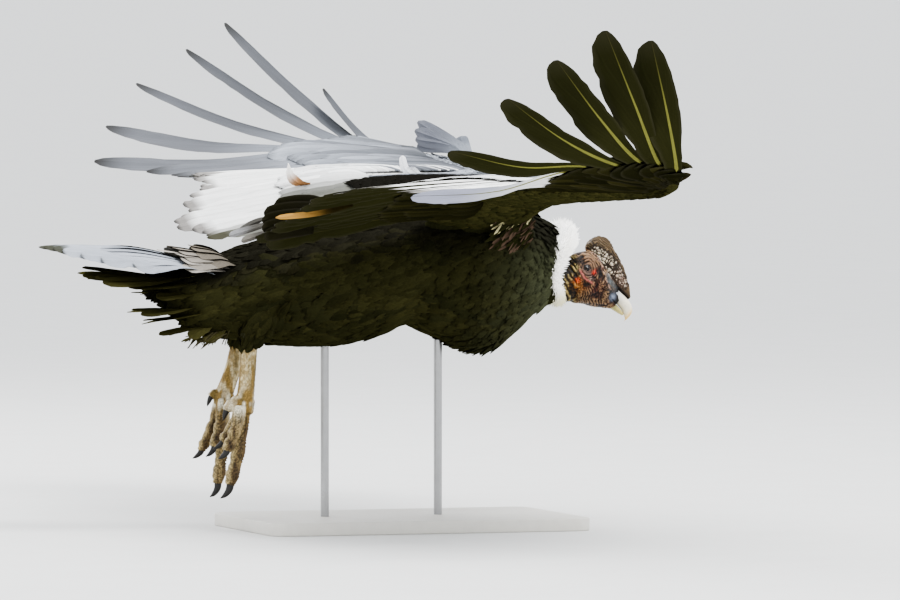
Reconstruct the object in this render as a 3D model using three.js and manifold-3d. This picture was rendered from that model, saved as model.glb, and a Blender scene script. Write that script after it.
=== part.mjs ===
// Andean condor, adult male, in level flight with its feet let down, on a plain display stand.
// Millimetres. +X forward (head), +Y the bird's left, +Z up; origin under the middle of the base.
import * as THREE from "three";
import { mergeVertices } from "three/addons/utils/BufferGeometryUtils.js";
import Module from "manifold-3d";

const wasm = await Module();
wasm.setup();

// Shared sizes
const GAP = 0.35; // clearance between neighbouring nodes
const BIRD_AT = [80, 0, 355]; // the bird's own zero point in the part's frame
const STAND = { length: 520, width: 340, thick: 20, corner: 26, rod: 6.5, rodAt: [-20, -205], socket: 9 };

// Colours of the CAD nodes
const COLOUR = {
  plumage: 0x1c1a17, silver: 0xa9a9a6, skin: 0x5a3a30, comb: 0x3d322c, bill: 0xd8d0bc,
  mandible: 0xb0a46a, eye: 0x3a2218, down: 0xf2f0ea, leg: 0xbfa98a, claw: 0x241f1b, stand: 0xc9c5bd,
};

// Torso stations from tail to neck: x, top z, bottom z, half width
const TORSO = [
  [-344, 86, -52, 58], [-322, 97, -66, 74], [-250, 112, -73, 99],
  [-174, 126, -70, 112], [-118, 135, -57, 116], [-72, 141, -44, 117], [-20, 146, -64, 119],
  [34, 149, -82, 117], [70, 149, -77, 110], [104, 147, -52, 99], [132, 141, -30, 84],
  [158, 122, -19, 64], [178, 96, -11, 46],
];

// Neck and head stations: x, z, pitch down in degrees, reach up, reach down, half width
const NECK = [[170, 24, 0, 34, 30, 29], [187, 26, 0, 36, 32, 31], [201, 32, 12, 41, 37, 34]];
const HEAD = [
  NECK[2], [216, 33, 25, 44, 41, 36],
  [231, 27, 36, 35, 42, 36], [243, 18, 43, 27, 36, 32], [254, 7, 46, 25, 28, 25],
  [262, -2, 46, 21, 18, 19], [268, -8, 46, 15, 10, 14],
];
const SKULL = { eye: [214.4, 47], pitch: 46 }; // zero and tilt of the face: f runs to the bill tip, u up
const EYE = { f: 1, u: 1, out: 28, radius: 9 };
const LID = { out: 34.2, radius: 8, cord: 2.3 };
const MOUTH = { from: [36, -5], to: [76, 1.3], width: 78, thick: 2 };
const NOSTRIL = { f: 79, u: 14.5, out: 13.2, long: 5, high: 2.1, deep: 2.6 };
const WARTS = [
  // f, u, distance out, radius: bulbs along the foot of the comb
  [2, 33, 10, 6], [24, 30, 10.5, 7], [45, 29, 9.5, 5.5],
];
const FOLDS = [
  // start f and u, bend, end, radius: folds of loose skin down the cheek and throat
  [-14, 12, -16, -14, 2, -34, 3.8], [-6, -8, 8, -19, 30, -30, 3.6], [-15, 22, -4, 18, 12, 16, 3],
];
const COMB = [
  // f, lower edge u, upper edge u, half thickness
  [-20, 33, 49, 8], [-14, 27, 60, 10.5], [0, 26, 66, 11], [14, 24, 63, 10.5], [28, 23, 59, 10],
  [44, 22, 55, 9.5], [58, 21, 49.5, 9], [72, 21.5, 42, 8], [84, 22.5, 34, 6.5], [91, 23, 29, 4.5],
];
const BILL_UPPER = [
  // f, lower edge u, upper edge u, half width
  [67, 2, 21, 13.5], [76, 3.5, 22, 12.5], [86, 4.5, 22.5, 11], [95, 4, 22, 9.5],
  [103, 1.5, 19.5, 7.5], [108.5, -1, 15, 5.5], [111, -3, 9, 3.4], [110.5, -5.5, 2, 1.4],
];
const BILL_LOWER = [
  [64, -11, 0.5, 11.5], [74, -9.5, 2, 10.5], [84, -7, 3.2, 9], [94, -4.2, 3, 6.8], [102, -1.6, 1.4, 3.8],
];

// Wing bones and edges of one side, y outward
const ARM = [
  // leading edge x, y, z, then the rear edge x of the flesh and its half thickness
  [96, 78, 128, -70, 26], [133, 180, 168, -88, 22], [165, 260, 176, -92, 19], [184, 306, 178, -80, 18],
  [212, 390, 181, 64, 14], [226, 440, 187, 158, 12], [196, 545, 203, 140, 10], [160, 642, 214, 132, 6],
];
const ELBOW = [-42, 322, 190];
const WRIST = [190, 438, 187];
const SHOULDER = [10, 110, 140];
const HAND_TIP = [146, 636, 212];
const TRAILING = [
  [-352, 132, 96], [-372, 215, 114], [-334, 305, 152], [-304, 390, 178], [-278, 470, 188],
  [-264, 560, 185], [-252, 606, 180],
];
const PRIMARIES = [
  // where each finger leaves the coverts, then its tip: P1 to P10
  [1, 527, 194, -250, 645, 181], [-8, 559, 198, -243, 681, 180], [-17, 596, 203, -242, 720, 182],
  [-24, 637, 209, -268, 775, 187], [-28, 678, 217, -335, 850, 203], [-24, 716, 224, -296, 915, 259],
  [17, 724, 228, -227, 971, 328], [54, 727, 235, -146, 954, 384], [87, 733, 231, -75, 968, 427],
  [120, 725, 220, 9, 930, 412],
];
const FAR_P10_TIP = [40, 800, 350]; // the far wing's first finger points away and ends short
const FINGER_SIDE = { right: [0.83, 0.55, 0.05], left: [0.62, 0.77, -0.14] };
const FAR_FINGER_RISE = [0, 0, 0, 0, 0.1, 0.1, 0.07, 0.02, -0.03, -0.25]; // upward part of the far ones' sides

const COUNT = { humerals: 5, secondaries: 11, rectrices: 12, undertail: 4, ruff: 16 };
const SHINGLE = THREE.MathUtils.degToRad(8);
const HAND_SHINGLE = THREE.MathUtils.degToRad(15);
const TAIL_SHINGLE = THREE.MathUtils.degToRad(13);
const NEAR_DROOP = 22; // how much lower the near wing carries the tips of its fourth and fifth primaries

const V = (x, y, z) => new THREE.Vector3(x, y, z);
const vec = (a) => V(a[0], a[1], a[2]);
const mix = (a, b, t) => a.clone().lerp(b, t);
const smooth = THREE.MathUtils.smoothstep;

// Repeatable chance: the same numbers each time the part is built
function seeded(seed) {
  let s = seed;
  return (low, high) => {
    s = (s * 16807) % 2147483647;
    return low + ((high - low) * s) / 2147483647;
  };
}

// Closed surface through rings of points; alike splits thin strips the same way on both faces
function skinOf(rings, { alike = false } = {}) {
  const n = rings[0].length;
  const points = rings.flat();
  const faces = [];
  for (let i = 0; i + 1 < rings.length; i++)
    for (let j = 0; j < n; j++) {
      const a = i * n + j, b = i * n + ((j + 1) % n), c = a + n, d = b + n;
      if (alike && j >= n / 2) faces.push(a, b, c, b, d, c);
      else faces.push(a, b, d, a, d, c);
    }
  const last = (rings.length - 1) * n;
  if (alike) {
    for (let j = 1; j + 1 < n; j++) faces.push(0, j + 1, j, last, last + j, last + j + 1);
  } else {
    for (const [start, flip] of [[0, true], [last, false]]) {
      const pole = V(0, 0, 0);
      for (let j = 0; j < n; j++) pole.addScaledVector(points[start + j], 1 / n);
      points.push(pole);
      for (let j = 0; j < n; j++) {
        const a = start + j, b = start + ((j + 1) % n), p = points.length - 1;
        if (flip) faces.push(p, b, a);
        else faces.push(p, a, b);
      }
    }
  }
  let volume = 0;
  for (let i = 0; i < faces.length; i += 3) {
    const [a, b, c] = [points[faces[i]], points[faces[i + 1]], points[faces[i + 2]]];
    volume += a.dot(b.clone().cross(c));
  }
  if (volume < 0) faces.reverse();
  const geometry = new THREE.BufferGeometry().setFromPoints(points);
  geometry.setIndex(faces);
  return geometry;
}

function solidOf(geometry) {
  const bare = geometry.clone();
  bare.deleteAttribute("normal");
  bare.deleteAttribute("uv");
  const merged = mergeVertices(bare, 1e-4);
  return new wasm.Manifold(
    new wasm.Mesh({
      numProp: 3,
      vertProperties: new Float32Array(merged.attributes.position.array),
      triVerts: new Uint32Array(merged.index.array),
    }),
  );
}

// Union of pieces as one closed body
function join(pieces) {
  return largest(pieces.reduce((a, b) => a.add(b)));
}

// The largest closed surface: a scrap cut loose or a sealed hollow is dropped
function largest(solid) {
  return solid.decompose().reduce((a, b) => (b.volume() > a.volume() ? b : a));
}

// Sets corners on a fine grid, so that those a cut left almost on one another become one, and
// drops the faces that close up; null where that would pinch the surface
function onGrid(solid, grid) {
  const geometry = geometryOf(solid);
  const place = geometry.attributes.position.array;
  for (let i = 0; i < place.length; i++) place[i] = Math.round(place[i] / grid) * grid;
  const merged = mergeVertices(geometry, grid / 4);
  const index = merged.index.array, kept = [], edges = new Map();
  for (let i = 0; i < index.length; i += 3) {
    const [a, b, c] = [index[i], index[i + 1], index[i + 2]];
    if (a === b || b === c || a === c) continue;
    kept.push(a, b, c);
    for (const [p, q] of [[a, b], [b, c], [c, a]]) {
      const key = p < q ? `${p},${q}` : `${q},${p}`;
      edges.set(key, (edges.get(key) ?? 0) + 1);
    }
  }
  if ([...edges.values()].some((faces) => faces !== 2)) return null;
  const vertProperties = new Float32Array(merged.attributes.position.array);
  return new wasm.Manifold(new wasm.Mesh({ numProp: 3, vertProperties, triVerts: new Uint32Array(kept) }));
}

function welded(solid) {
  for (const grid of [0.02, 0.01, 0.013, 0.005, 0.0025]) {
    let body = largest(solid);
    for (let pass = 0; body && pass < 4; pass++) {
      body = onGrid(body, grid);
      if (body && body.decompose().length === 1) return body;
      if (body) body = largest(body);
    }
  }
  return largest(solid);
}

function geometryOf(solid) {
  const mesh = solid.getMesh();
  return new THREE.BufferGeometry()
    .setAttribute("position", new THREE.BufferAttribute(new Float32Array(mesh.vertProperties), 3))
    .setIndex(new THREE.BufferAttribute(new Uint32Array(mesh.triVerts), 1));
}

// Oval ring: centre, sideways and upward directions, half width, reach up and reach down
function oval(centre, across, up, half, high, low, count = 16, power = 1) {
  const ring = [];
  for (let j = 0; j < count; j++) {
    const a = (j / count) * Math.PI * 2;
    const c = Math.cos(a), s = Math.sin(a);
    const x = Math.sign(c) * Math.abs(c) ** power * half;
    const y = Math.sign(s) * Math.abs(s) ** power * (s > 0 ? high : low);
    ring.push(centre.clone().addScaledVector(across, x).addScaledVector(up, y));
  }
  return ring;
}

// Round cord through points, its radius given at each; grow swells it all over
function cord(points, radii, sides = 6, grow = 0) {
  const path = new THREE.CatmullRomCurve3(points);
  const last = radii.length - 1;
  const across = V(0, 0, 1).cross(path.getTangent(0));
  if (across.lengthSq() < 0.01) across.set(0, 1, 0);
  const rings = radii.map((radius, i) => {
    const t = i / last, r = radius + grow;
    const along = path.getTangent(t);
    across.addScaledVector(along, -across.dot(along)).normalize(); // carried on, so that rings don't turn
    const up = along.clone().cross(across).normalize();
    const end = i === 0 ? -grow : i === last ? grow : 0;
    return oval(path.getPoint(t).addScaledVector(along, end), across, up, r, r, r, sides);
  });
  return solidOf(skinOf(rings));
}

// Thin feather vane along a curve; side(t) points to its outer edge, spin turns it about the shaft,
// shaft is the rise of the quill over the web, outer the outer web's share and grow swells it all over
function vane({
  points, side, width, thick = 1.3, stations, shape, spin = () => 0, shaft = 0, outer = 0.5, grow = 0,
}) {
  const path = new THREE.CatmullRomCurve3(points, false, "centripetal");
  const last = stations.length - 1;
  const rings = stations.map((t, i) => {
    const along = path.getTangent(t);
    const centre = path.getPoint(t).addScaledVector(along, i === 0 ? -grow : i === last ? grow : 0);
    const across = side(t).clone().addScaledVector(along, -side(t).dot(along)).normalize();
    const up = across.clone().cross(along).normalize();
    const angle = spin(t);
    const s = across.clone().multiplyScalar(Math.cos(angle)).addScaledVector(up, Math.sin(angle));
    const n = up.clone().multiplyScalar(Math.cos(angle)).addScaledVector(across, -Math.sin(angle));
    const inner = -width * shape[i] * (1 - outer) - grow, outward = width * shape[i] * outer + grow;
    const h = (thick / 2) * (i === last ? 0.6 : 1) + grow;
    const at = (x, z) => centre.clone().addScaledVector(s, x).addScaledVector(n, z);
    const ring = [at(inner, -h), at(outward, -h), at(outward, h), at(inner, h)];
    if (!shaft) return ring;
    const ridge = h + shaft * smooth(t, 0.25, 0.45) * (1.6 - t);
    return [ring[0], at(0, -ridge), ring[1], ring[2], at(0, ridge), ring[3]];
  });
  return solidOf(skinOf(rings, { alike: true }));
}

const COVERT = { stations: [0, 0.5, 1], shape: [0.55, 1, 0.45] };
const FLIGHT = { stations: [0, 0.2, 0.55, 0.88, 1], shape: [0.3, 0.85, 1, 0.86, 0.36] };
const FINGER = { stations: [0, 0.2, 0.42, 0.68, 0.9, 1], shape: [0.2, 0.58, 0.8, 0.86, 0.68, 0.24] };

// Torso at a given growth, so that its neighbours can be cut clear of it
function torsoForm(grow) {
  const rings = TORSO.map(([x, top, bottom, half], i) => {
    const end = i === 0 ? -grow : i === TORSO.length - 1 ? grow : 0;
    const mid = (top + bottom) / 2 + 0.08 * (top - bottom);
    const high = top - mid + grow, low = mid - bottom + grow;
    return oval(V(x + end, 0, mid), V(0, 1, 0), V(0, 0, 1), half + grow, high, low, 20, 0.9);
  });
  return solidOf(skinOf(rings));
}

// Head frame: f to the bill tip, u up, y left
function face(f, y, u) {
  const a = THREE.MathUtils.degToRad(SKULL.pitch);
  return V(
    SKULL.eye[0] + f * Math.cos(a) + u * Math.sin(a), y,
    SKULL.eye[1] - f * Math.sin(a) + u * Math.cos(a),
  );
}

// Flesh of the neck or the head, through its stations
function headForm(stations, grow) {
  const rings = stations.map(([x, z, pitch, up, down, half], i) => {
    const a = THREE.MathUtils.degToRad(pitch);
    const end = i === 0 ? -grow : i === stations.length - 1 ? grow : 0;
    const centre = V(x + end * Math.cos(a), 0, z - end * Math.sin(a));
    return oval(centre, V(0, 1, 0), V(Math.sin(a), 0, Math.cos(a)), half + grow, up + grow, down + grow, 18);
  });
  return solidOf(skinOf(rings));
}

// Ridge along the face between a lower and an upper edge
function faceRidge(rows, grow = 0, count = 12, power = 1) {
  const rings = rows.map(([f, low, high, half], i) => {
    const mid = (low + high) / 2, reach = (high - low) / 2 + grow;
    const end = i === 0 ? -grow : i === rows.length - 1 ? grow : 0;
    const up = face(0, 0, 1).sub(face(0, 0, 0));
    return oval(face(f + end, 0, mid), V(0, 1, 0), up, half + grow, reach, reach, count, power);
  });
  return solidOf(skinOf(rings));
}

function eyeball(sign, grow) {
  const g = new THREE.IcosahedronGeometry(EYE.radius + grow, 1);
  const c = face(EYE.f, sign * EYE.out, EYE.u);
  g.translate(c.x, c.y, c.z);
  return solidOf(g);
}

// A squashed ball at a place on the face: half sizes along f, outward and along u
function bulb(f, out, u, long, deep, high) {
  const g = new THREE.SphereGeometry(1, 6, 4);
  g.scale(long, deep, high).rotateY(THREE.MathUtils.degToRad(SKULL.pitch));
  const c = face(f, out, u);
  g.translate(c.x, c.y, c.z);
  return solidOf(g);
}

// How far out the head's flesh lies at a place on the face
function cheek(f, u) {
  const at = face(f, 0, u);
  let reach = 0;
  for (const [x, z, pitch, up, down, half] of HEAD) {
    const a = THREE.MathUtils.degToRad(pitch);
    const along = (at.x - x) * Math.cos(a) - (at.z - z) * Math.sin(a);
    const high = (at.x - x) * Math.sin(a) + (at.z - z) * Math.cos(a);
    const share = 1 - (high / (high > 0 ? up : down)) ** 2;
    if (Math.abs(along) < 9 && share > 0) reach = Math.max(reach, half * Math.sqrt(share));
  }
  return reach;
}

// Head with its lids, the folds of loose skin and the line of the mouth
function dressedHead() {
  const pieces = [headForm(HEAD, 0)];
  for (const s of [1, -1]) {
    const lid = new THREE.TorusGeometry(LID.radius, LID.cord, 4, 10);
    lid.rotateX(Math.PI / 2);
    const c = face(EYE.f, s * LID.out, EYE.u);
    lid.translate(c.x, c.y, c.z);
    pieces.push(solidOf(lid));
    for (const [f0, u0, f1, u1, f2, u2, r] of FOLDS) {
      const at = (f, u) => face(f, s * (cheek(f, u) - 0.5), u);
      pieces.push(cord([at(f0, u0), at(f1, u1), at(f2, u2)], [r * 0.6, r, r, r * 0.6], 5));
    }
  }
  let head = join(pieces);
  const [from, to] = [MOUTH.from, MOUTH.to].map(([f, u]) => face(f, 0.2, u));
  const slit = vane({
    points: [from, mix(from, to, 0.5).add(V(0.6, 0, 0.6)), to], side: () => V(0, 1, 0), width: MOUTH.width,
    thick: MOUTH.thick, stations: [0, 0.5, 1], shape: [1, 1, 1],
  });
  head = head.subtract(slit);
  for (const s of [1, -1]) head = head.subtract(eyeball(s, GAP));
  return head;
}

function combForm() {
  const pieces = [faceRidge(COMB, 0, 12)];
  for (const [f, u, out, r] of WARTS)
    for (const s of [1, -1]) pieces.push(bulb(f, s * out, u, r, r * 0.7, r * 0.8));
  return join(pieces);
}

function billForm() {
  let bill = faceRidge(BILL_UPPER);
  for (const s of [1, -1]) {
    const { f, out, u, long, deep, high } = NOSTRIL;
    bill = bill.subtract(bulb(f, s * out, u, long, deep, high));
  }
  return bill;
}

// Wing flesh between two stations of the arm
function armForm(from, to, grow = 0) {
  const rings = ARM.slice(from, to + 1).map(([x, y, z, rear, half], i) => {
    const station = from + i;
    const inward = station === from && from > 0, outward = station === to && to < ARM.length - 1;
    const trim = (inward ? 1 : outward ? -1 : 0) * (GAP / 2 - grow);
    const high = half + grow, long = rear - x - 2 * grow;
    const at = (q, h) => V(x + grow + long * q, y + trim, z + h * high - (q > 0.5 ? 0 : 4));
    return [
      at(0, 0), at(0.1, 0.75), at(0.42, 1), at(0.8, 0.8),
      at(1, 0), at(0.8, -0.8), at(0.42, -1), at(0.1, -0.8),
    ];
  });
  return solidOf(skinOf(rings));
}

// Wing quills: root, middle and tip of every flight feather of one side, body to finger tip
function wingQuills(far) {
  const trailing = new THREE.CatmullRomCurve3(TRAILING.map(vec), false, "centripetal");
  const quills = [];
  const total = COUNT.humerals + COUNT.secondaries;
  for (let k = 0; k < total; k++) {
    const tip = trailing.getPoint(k / (total - 1));
    const inner = k < COUNT.humerals;
    const root = inner
      ? mix(vec(SHOULDER), vec(ELBOW), 0.12 + (0.8 * k) / COUNT.humerals)
      : mix(vec(ELBOW), vec(WRIST), 0.03 + (0.93 * (k - COUNT.humerals)) / (COUNT.secondaries - 1));
    const points = [root, mix(root, tip, 0.4).add(V(0, 0, 9)), mix(root, tip, 0.7).add(V(0, 0, 6)), tip];
    quills.push({ node: inner ? "inner" : "forearm", finger: 0, points });
  }
  PRIMARIES.forEach((row, k) => {
    const root = mix(vec(WRIST), vec(HAND_TIP), 0.06 + (0.94 * k) / 9);
    const exit = vec(row);
    const tip = k === 9 && far ? vec(FAR_P10_TIP) : vec(row.slice(3));
    if (!far) tip.z -= NEAR_DROOP * Math.max(0, 1 - Math.abs(k - 3.7) / 2);
    const middle = mix(exit, tip, 0.5).add(V(4, 3, k > 3 ? -12 : 0));
    quills.push({ node: "hand", primary: k, finger: smooth(k, 3, 6), points: [root, exit, middle, tip] });
  });
  return quills;
}

// One wing: flight feathers, then the greater coverts above and below them, joined by node
function wing(name) {
  const quills = wingQuills(name === "left");
  const paths = quills.map((q) => new THREE.CatmullRomCurve3(q.points, false, "centripetal"));
  const parts = { inner: [armForm(0, 3)], forearm: [armForm(3, 5)], hand: [armForm(5, 7)] };
  const room = { inner: [armForm(0, 3, GAP)], forearm: [armForm(3, 5, GAP)], hand: [] };
  quills.forEach((q, i) => {
    const tipSide = vec(FINGER_SIDE[name]);
    if (name === "left" && q.primary > 3) tipSide.z = FAR_FINGER_RISE[q.primary];
    const before = paths[Math.max(0, i - 1)], after = paths[Math.min(paths.length - 1, i + 1)];
    const side = (t) => {
      const across = after.getPoint(t).sub(before.getPoint(t)).normalize();
      return across.lerp(tipSide, q.finger * smooth(t, 0.35, 0.8)).normalize();
    };
    const rise = (t) => side(t).cross(paths[i].getTangent(t)).normalize();
    const ends = i === 0 || i === paths.length - 1 ? 1 : 2;
    const spacing = after.getPoint(0.6).distanceTo(before.getPoint(0.6)) / ends;
    const long = q.node === "hand";
    const tilt = long ? SHINGLE + (HAND_SHINGLE - SHINGLE) * q.finger : SHINGLE;
    const add = (feather) => {
      parts[q.node].push(vane(feather));
      if (!long) room[q.node].push(vane({ ...feather, grow: GAP }));
    };
    add({
      points: q.points, side, ...(q.finger ? FINGER : FLIGHT),
      width: long ? 48 + 10 * q.finger : spacing * 1.5,
      spin: (t) => tilt * (1 - q.finger * smooth(t, 0.4, 0.75)),
      shaft: q.finger ? 0.7 : 0, thick: 1.2, outer: long ? 0.5 - 0.16 * q.finger : 0.5,
    });
    if (i % 2) return;
    const high = 7.5 + 3.5 * Math.max(q.finger, long ? 0.6 : 0);
    for (const [lift, reach] of [[1, 0.44 - 0.1 * q.finger], [-1, 0.38 - 0.08 * q.finger]]) {
      const at = (t, gain) =>
        paths[i].getPoint(t * reach).addScaledVector(rise(t * reach), lift * high * gain);
      const near = after.getPoint(reach).distanceTo(before.getPoint(reach)) / ends;
      add({
        points: [at(0, 0.6), at(0.5, 1), at(1, 1)], side: (t) => side(t * reach), ...COVERT,
        width: near * 2.1, spin: () => tilt, thick: 1.2,
      });
    }
  });
  for (const [k, length] of [[0, 92], [1, 76], [2, 58]]) {
    const root = mix(vec(WRIST), vec(HAND_TIP), 0.06 + 0.05 * k).add(V(6, 0, 8 + 2.6 * k));
    const tip = root.clone().add(V(-0.55 * length, 0.78 * length, 0.16 * length + 3 * k));
    const points = [root, mix(root, tip, 0.5).add(V(3, 0, 1)), tip];
    parts.hand.push(vane({ points, side: () => V(1, 0.5, 0), ...COVERT, width: 24, thick: 1.3 }));
  }
  const solids = { inner: join(parts.inner), forearm: join(parts.forearm), hand: join(parts.hand) };
  for (const [node, neighbour] of [["forearm", "inner"], ["hand", "forearm"]])
    for (const form of [room[neighbour][0], ...room[neighbour].slice(-5)])
      solids[node] = solids[node].subtract(form);
  return solids;
}

function mirrored(solid) {
  const mesh = solid.getMesh();
  const v = new Float32Array(mesh.vertProperties);
  for (let i = 1; i < v.length; i += 3) v[i] = -v[i];
  const t = new Uint32Array(mesh.triVerts);
  for (let i = 0; i < t.length; i += 3) [t[i + 1], t[i + 2]] = [t[i + 2], t[i + 1]];
  return new wasm.Manifold(new wasm.Mesh({ numProp: 3, vertProperties: v, triVerts: t }));
}

// Tail: a rump that tapers back, the fan of rectrices, and tiers of coverts above and below them
const RUMP = [
  // x, top z, bottom z, half width
  [-330, 90, -62, 64], [-370, 82, -57, 54], [-404, 74, -42, 43], [-436, 64, -14, 31], [-458, 48, 16, 18],
];
const TAIL_ABOVE = [
  // tip x, tip z, spread, width, count
  [-466, 86, 0.7, 42, 5], [-438, 88, 0.6, 40, 4],
];
const TAIL_BELOW = [
  // root x and z, tip x and z, spread, width
  [-420, 34, -594, 38, 62, 44], [-408, 16, -552, 24, 56, 40], [-394, -4, -504, -18, 42, 36],
  [-372, -28, -462, -50, 36, 32],
];

function tailForm() {
  const up = V(0, 0, 1), left = V(0, 1, 0);
  const pieces = [solidOf(skinOf(RUMP.map(([x, top, bottom, half]) =>
    oval(V(x, 0.4, (top + bottom) / 2), left, up, half, (top - bottom) / 2, (top - bottom) / 2, 16))))];
  const bent = (root, tip, lift) => [root, mix(root, tip, 0.45).add(V(0, 0, lift)), tip];
  const chance = seeded(41);
  const tier = (curves, tilt, options) => {
    const paths = curves.map((points) => new THREE.CatmullRomCurve3(points, false, "centripetal"));
    paths.forEach((path, k) => {
      const before = paths[Math.max(0, k - 1)], after = paths[Math.min(paths.length - 1, k + 1)];
      const side = (t) => after.getPoint(t).sub(before.getPoint(t)).normalize();
      pieces.push(vane({ points: curves[k], side, spin: () => tilt, ...options }));
    });
  };
  const fan = (count, make) => {
    const curves = [];
    for (let k = 0; k < count; k++) curves.push(make((2 * k) / (count - 1) - 1 + 0.013));
    return curves;
  };
  tier(fan(COUNT.rectrices, (u) => bent(
    V(-398, 35 * u, 58 - 6 * u * u + 4 * u),
    u > 0 ? V(-655 + 26 * u * u, 112 * u, 88 - 4 * u * u)
      : V(-655 + 120 * Math.abs(u) ** 2.2, 75 * u, 88 - 28 * u * u), 6,
  )), -TAIL_SHINGLE, { ...FLIGHT, width: 31, thick: 1.1 });
  TAIL_ABOVE.forEach(([x, z, spread, width, count], row) =>
    tier(fan(count, (u) => bent(
      V(-378 + 9 * row, 30 * u, 60 - 5 * u * u + 5 * row),
      V(x + 20 * u * u + chance(-6, 6), 92 * u * spread, z + 4 - 16 * u * u + 14 * u + 3 * row), 10,
    )), -SHINGLE, { ...COVERT, width, thick: 1.2 }));
  for (const [rootX, rootZ, x, z, spread, width] of TAIL_BELOW)
    tier(fan(COUNT.undertail, (u) => bent(
      V(rootX, 0.42 * spread * u, rootZ + 4 * u * u),
      V(x + chance(-12, 12) + 18 * u * u, spread * u, z - 8 * u * u + chance(-3, 3)), -4,
    )), SHINGLE, { ...COVERT, width, thick: 1.4 });
  return join(pieces);
}

// Downy ruff: flat tapered locks in rows round the neck, fuller over the nape
const RUFF = { x: 181, z: 44, root: 38, reach: 17, nape: 29, width: 21 };
const RUFF_ROWS = [
  // root x from the middle, tip x from its root, share of the full length
  [-9, -10, 0.9], [-1, 4, 1], [7, 22, 0.86],
];

function ruffForm() {
  const ring = (x, r) => oval(V(x, 0.3, 38), V(0, 1, 0), V(0, 0, 1), 42 + r, 48 + r, 43 + r, 20);
  const pieces = [solidOf(skinOf([ring(168, -6), ring(173, 1), ring(189, 1), ring(195, -6)]))];
  const chance = seeded(7);
  RUFF_ROWS.forEach(([start, lean, share], row) => {
    for (let k = 0; k < COUNT.ruff; k++) {
      const a = ((k + 0.13 + 0.37 * row) / COUNT.ruff) * Math.PI * 2;
      const out = V(0, Math.cos(a), Math.sin(a));
      const high = smooth(Math.sin(a), -0.4, 1);
      const length = (RUFF.reach + RUFF.nape * high + chance(-3, 4)) * share;
      const root = V(RUFF.x + start, 0, RUFF.z).addScaledVector(out, RUFF.root);
      const middle = root.clone().addScaledVector(out, length * 0.6).add(V(lean * 0.3, 0, 0));
      const tip = root.clone().addScaledVector(out, length).add(V(lean + chance(-3, 3), 0, -2));
      pieces.push(vane({
        points: [root, middle, tip], side: () => V(0, -Math.sin(a), Math.cos(a)), width: RUFF.width,
        stations: [0, 0.5, 1], shape: [0.8, 1, 0.42], thick: 1.8, spin: () => 0.4,
      }));
    }
  });
  return join(pieces);
}

// Leg of one side: feathered thigh, bare tarsus, foot with four toes and claws
const LEGS = {
  left: {
    thigh: [[-290, 48, 0], [-310, 57, -40], [-325, 60, -76]],
    shank: [[-324, 60, -60], [-336, 60, -105], [-351, 60, -146]],
    toes: [
      // name, start, end, radius, claw length
      ["middle", [-353, 60, -152], [-362, 60, -284], 9.6, 27], ["inner", [-358, 50, -152], [-373, 44, -226], 8.2, 22],
      ["outer", [-355, 72, -154], [-383, 80, -233], 8.2, 20], ["hind", [-352, 60, -143], [-371, 60, -150], 7.6, 16],
    ],
  },
  right: {
    thigh: [[-300, 48, 0], [-328, 57, -40], [-345, 60, -72]],
    shank: [[-346, 60, -58], [-348, 60, -100], [-353, 60, -153]],
    toes: [
      ["middle", [-355, 60, -158], [-378, 60, -280], 10, 27], ["inner", [-358, 50, -158], [-384, 40, -214], 8.4, 20],
      ["outer", [-364, 70, -158], [-390, 82, -226], 9, 20], ["hind", [-360, 60, -148], [-382, 60, -166], 8.4, 16],
    ],
  },
};
const onSide = (points, sign) => points.map(([x, y, z]) => V(x, y * sign, z));

function toeLine([name, start, end], sign) {
  const [from, to] = onSide([start, end], sign);
  const bend = name === "hind" ? V(-3, 0, 3) : V(5, 0, 0);
  return [0, 0.4, 0.75, 1].map((t) => mix(from, to, t).addScaledVector(bend, Math.sin(t * 3)));
}

function toe(row, sign) {
  const points = toeLine(row, sign);
  const r = row[3];
  return cord(points, [r, r * 1.06, r * 0.86, r * 1.04, r * 0.82, r * 0.95, r * 0.7], 8);
}

function claw(row, sign, grow = 0) {
  const points = toeLine(row, sign);
  const end = points[3], along = end.clone().sub(points[2]).normalize();
  const hook = row[0] === "hind" ? V(-0.1, 0, -1) : V(-1, 0, 0.1);
  const length = row[4], r = row[3];
  const start = end.clone().addScaledVector(along, -5);
  const path = [
    start, start.clone().addScaledVector(along, length * 0.5).addScaledVector(hook, -1),
    start.clone().addScaledVector(along, length * 0.85).addScaledVector(hook, length * 0.12),
    start.clone().addScaledVector(along, length * 1.02).addScaledVector(hook, length * 0.3),
  ];
  return cord(path, [r * 0.56, r * 0.53, r * 0.44, r * 0.3, r * 0.12], 7, grow);
}

// Stand: flat base with two round rods up to the belly
function standBase() {
  const { length, width, corner, thick } = STAND;
  const x = length / 2 - 2, y = width / 2 - 2, c = corner;
  const outline = new THREE.Shape();
  outline.moveTo(-x + c, -y).lineTo(x - c, -y).quadraticCurveTo(x, -y, x, -y + c).lineTo(x, y - c);
  outline.quadraticCurveTo(x, y, x - c, y).lineTo(-x + c, y).quadraticCurveTo(-x, y, -x, y - c);
  outline.lineTo(-x, -y + c).quadraticCurveTo(-x, -y, -x + c, -y);
  const plate = new THREE.ExtrudeGeometry(outline, {
    depth: thick - 4, bevelSize: 2, bevelThickness: 2, bevelSegments: 1, curveSegments: 5,
  });
  plate.translate(0, 0, 2);
  let solid = solidOf(plate);
  for (const at of STAND.rodAt)
    solid = solid.subtract(rodForm(at, STAND.rod + GAP, thick - STAND.socket, thick + 10));
  return solid;
}

function rodForm(at, radius, from, to) {
  const rod = new THREE.CylinderGeometry(radius, radius, to - from, 16);
  rod.rotateX(Math.PI / 2).translate(at + BIRD_AT[0], 0, (from + to) / 2);
  return solidOf(rod);
}

function moved(solid, x, y, z) {
  const g = geometryOf(solid);
  g.translate(x, y, z);
  return solidOf(g);
}

const group = new THREE.Group();
group.name = "andean_condor";

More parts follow.
